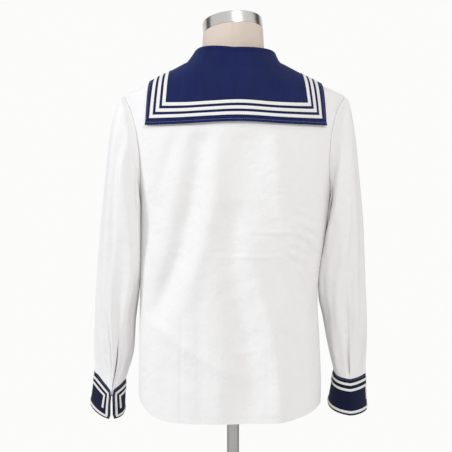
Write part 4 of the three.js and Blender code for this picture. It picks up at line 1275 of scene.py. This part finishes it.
class JUMPER_OT_cuffs(bpy.types.Operator):
    """Make the two cuffs and their tapes"""

    bl_idname = "jumper.cuffs"
    bl_label = "Cuffs"

    def execute(self, context):
        thick = context.scene.jumper_cloth.thickness * 1000
        down = np.linspace(0, CUFF_HEIGHT, 45)[:, None]
        along = np.linspace(0, CUFF_ROUND, 161)[None]
        for arm in (LEFT, RIGHT):
            name = f"cuff_{arm['name']}"
            grid = cuff_place(arm, along, down)
            grid = grid if arm["side"] < 0 else grid[:, ::-1]
            # The cuffs' darker navy is painted shade
            cuff = cloth_piece(f"{name}_cloth", [grid], -thick, 0, material("navy_cuffs_painted_shade"))
            stands_for(name)
            for tape, (outer, inner) in CUFF_TAPE_LINES.items():
                steps = [max(int(math.dist(a, b) / 2), 2) for a, b in zip(outer, outer[1:])]
                place = np.concatenate([i + np.arange(n) / n for i, n in enumerate(steps)] + [[len(steps)]])
                (over, _), (under, normals) = (cuff_line(arm, line, place) for line in (outer, inner))
                lines = [over, under] if arm["side"] < 0 else [under, over]
                piece = tape_piece(f"{name}_tape_{tape}_cloth", lines, normals, material("white_tape"))
                stands_for(f"{name}_tape_{tape}")
        return {"FINISHED"}


class JUMPER_OT_collar(bpy.types.Operator):
    """Make the sailor collar and its three tapes"""

    bl_idname = "jumper.collar"
    bl_label = "Collar"

    def execute(self, context):
        thick = context.scene.jumper_cloth.thickness * 1000
        columns = collar_columns()
        collar = cloth_piece("collar_cloth", [collar_grid(columns)], -thick, 0, material("navy_twill"))
        stands_for("sailor_collar")
        for tape, (low, high) in COLLAR_TAPES.items():
            rows = np.linspace(low, high, TAPE_ROWS)
            crown = TAPE_CROWN * np.sin(math.pi * np.linspace(0, 1, TAPE_ROWS))
            grid = np.array([
                on_collar(np.full(columns[2].shape, d), columns, TAPE_LIFT + c) for d, c in zip(rows, crown)])
            piece = cloth_piece(f"collar_tape_{tape}_cloth", [grid], 0, TAPE, material("white_tape"))
            stands_for(f"collar_tape_{tape}")
        return {"FINISHED"}


class JUMPER_OT_stitching(bpy.types.Operator):
    """Make the rows of stitches along the hem, the collar and the cuffs"""

    bl_idname = "jumper.stitching"
    bl_label = "Stitching"

    def execute(self, context):
        runs = []
        for grid in (back_grid(), *front_grids()):
            line, above = grid[HEM_STITCHES], grid[HEM_STITCHES + 1]
            along = np.gradient(line, axis=0)
            runs.append((line, unit(np.cross(along, above - line))))
        hem = stitch_row("hem_stitches", runs, material("white_thread"))

        columns = collar_columns(160, 60, 200)
        d = np.full(columns[2].shape, COLLAR_STITCHES)
        line = on_collar(d, columns)
        runs = [(line, unit(on_collar(d, columns, 1.0) - line))]
        collar = stitch_row("collar_stitches", runs, material("pale_thread"), radius=0.36)

        runs = [cuff_line(arm, CUFF_STITCHES, np.linspace(0, 4, 401)) for arm in (LEFT, RIGHT)]
        cuffs = stitch_row("cuff_stitches", runs, material("pale_thread"), radius=0.3)
        return {"FINISHED"}


class JUMPER_OT_stage(bpy.types.Operator):
    """Make the pale floor, the lights and the camera"""

    bl_idname = "jumper.stage"
    bl_label = "Studio"

    def light(self, name, place, size, power, colour, gloss):
        """A round lamp aimed at the jumper's middle; gloss says if it shows in the steel."""
        lamp = bpy.data.lights.new(name, "AREA")
        lamp.shape, lamp.size, lamp.energy, lamp.color = "DISK", size, power, colour
        made = bpy.data.objects.new(name, lamp)
        made.location = place
        made.rotation_euler = (AIM - Vector(place)).to_track_quat("-Z", "Y").to_euler()
        made.visible_camera = False
        made.visible_glossy = gloss
        bpy.context.scene.collection.objects.link(made)

    def card(self, name, azimuth, distance, width, low, high, colour):
        """A tall card that only shows in the steel: azimuth 0 is behind the camera and 90 on its right."""
        a = math.radians(azimuth)
        middle = np.array([math.sin(a), -math.cos(a)]) * distance * 1000
        along = np.array([math.cos(a), math.sin(a)]) * width * 500
        corners = [(*(middle - along), low * 1000), (*(middle + along), low * 1000),
                   (*(middle + along), high * 1000), (*(middle - along), high * 1000)]
        points, face = np.array(corners, float), np.array([[0, 1, 2, 3]])
        made = make_piece(name, points, face, points[:, :2] / 1000, plain_looks(name, colour, 1))
        made.visible_camera = made.visible_diffuse = made.visible_shadow = made.visible_transmission = False

    def execute(self, context):
        studio = context.scene.jumper_studio
        wide, top, under = FLOOR["radius"], -FLOOR["gap"], -FLOOR["gap"] - FLOOR["thick"]
        floor = turned_piece("floor", [(0, under), (wide, under), (wide, top), (0, top)], 128,
                             plain_looks("pale_floor", (0.9, 0.9, 0.89), 0.9))
        self.card("dark_card_left", -110, 2.6, 1.15, -1, 4, (0.02, 0.018, 0.016))
        self.card("dark_card_right", 118, 2.6, 1.5, -1, 4, (0.05, 0.035, 0.025))

        world = bpy.data.worlds.new("studio_air")
        world.use_nodes = True
        nodes, links = world.node_tree.nodes, world.node_tree.links
        seen, colour = nodes.new("ShaderNodeLightPath"), nodes.new("ShaderNodeMix")
        colour.data_type = "RGBA"
        colour.inputs[6].default_value = (*studio.backdrop, 1)
        colour.inputs[7].default_value = (*(studio.ambient * c for c in EVEN), 1)
        links.new(seen.outputs["Is Diffuse Ray"], colour.inputs[0])
        links.new(colour.outputs[2], nodes["Background"].inputs["Color"])
        context.scene.world = world
        self.light("key_light", (-4.4, -1.5, 3.2), 1.4, studio.key, COOL, False)
        self.light("fill_light", (0.75, -2.4, 2.8), 0.8, studio.fill, EVEN, True)
        self.light("warm_light", (2.1, -0.9, 0.9), 1.2, studio.warm, WARM, False)

        lens = bpy.data.cameras.new("photo_camera")
        lens.sensor_width = CAMERA["sensor_mm"]
        lens.lens = CAMERA["sensor_mm"] * CAMERA["focal"] / CAMERA["frame"]
        camera = bpy.data.objects.new("photo_camera", lens)
        camera.location = CAMERA["place"]
        camera.rotation_euler = (math.pi / 2, 0, 0)
        context.scene.collection.objects.link(camera)
        context.scene.camera = camera
        context.scene.view_settings.view_transform = "Standard"
        return {"FINISHED"}


OPERATORS = (
    JUMPER_OT_form, JUMPER_OT_stand, JUMPER_OT_body, JUMPER_OT_sleeves, JUMPER_OT_cuffs, JUMPER_OT_collar,
    JUMPER_OT_stitching, JUMPER_OT_stage,
)


class JUMPER_PT_pieces(bpy.types.Panel):
    """Lists the jumper's operators and their settings"""

    bl_idname = "JUMPER_PT_pieces"
    bl_label = "Sailor jumper"
    bl_space_type = "VIEW_3D"
    bl_region_type = "UI"
    bl_category = "Jumper"

    def draw(self, context):
        for name in ("jumper_cloth", "jumper_stand", "jumper_studio"):
            group = getattr(context.scene, name)
            for prop in group.bl_rna.properties:
                if prop.identifier not in ("rna_type", "name"):
                    self.layout.prop(group, prop.identifier)
        for operator in OPERATORS:
            self.layout.operator(operator.bl_idname)


GROUPS = (JumperCloth, FormAndStand, Studio)


def register():
    for cls in (*GROUPS, *OPERATORS, JUMPER_PT_pieces):
        bpy.utils.register_class(cls)
    bpy.types.Scene.jumper_cloth = PointerProperty(type=JumperCloth)
    bpy.types.Scene.jumper_stand = PointerProperty(type=FormAndStand)
    bpy.types.Scene.jumper_studio = PointerProperty(type=Studio)


def unregister():
    del bpy.types.Scene.jumper_studio, bpy.types.Scene.jumper_stand, bpy.types.Scene.jumper_cloth
    for cls in reversed((*GROUPS, *OPERATORS, JUMPER_PT_pieces)):
        bpy.utils.unregister_class(cls)


def main():
    register()
    for operator in OPERATORS:
        group, name = operator.bl_idname.split(".")
        getattr(getattr(bpy.ops, group), name)()


if __name__ == "__main__":
    main()
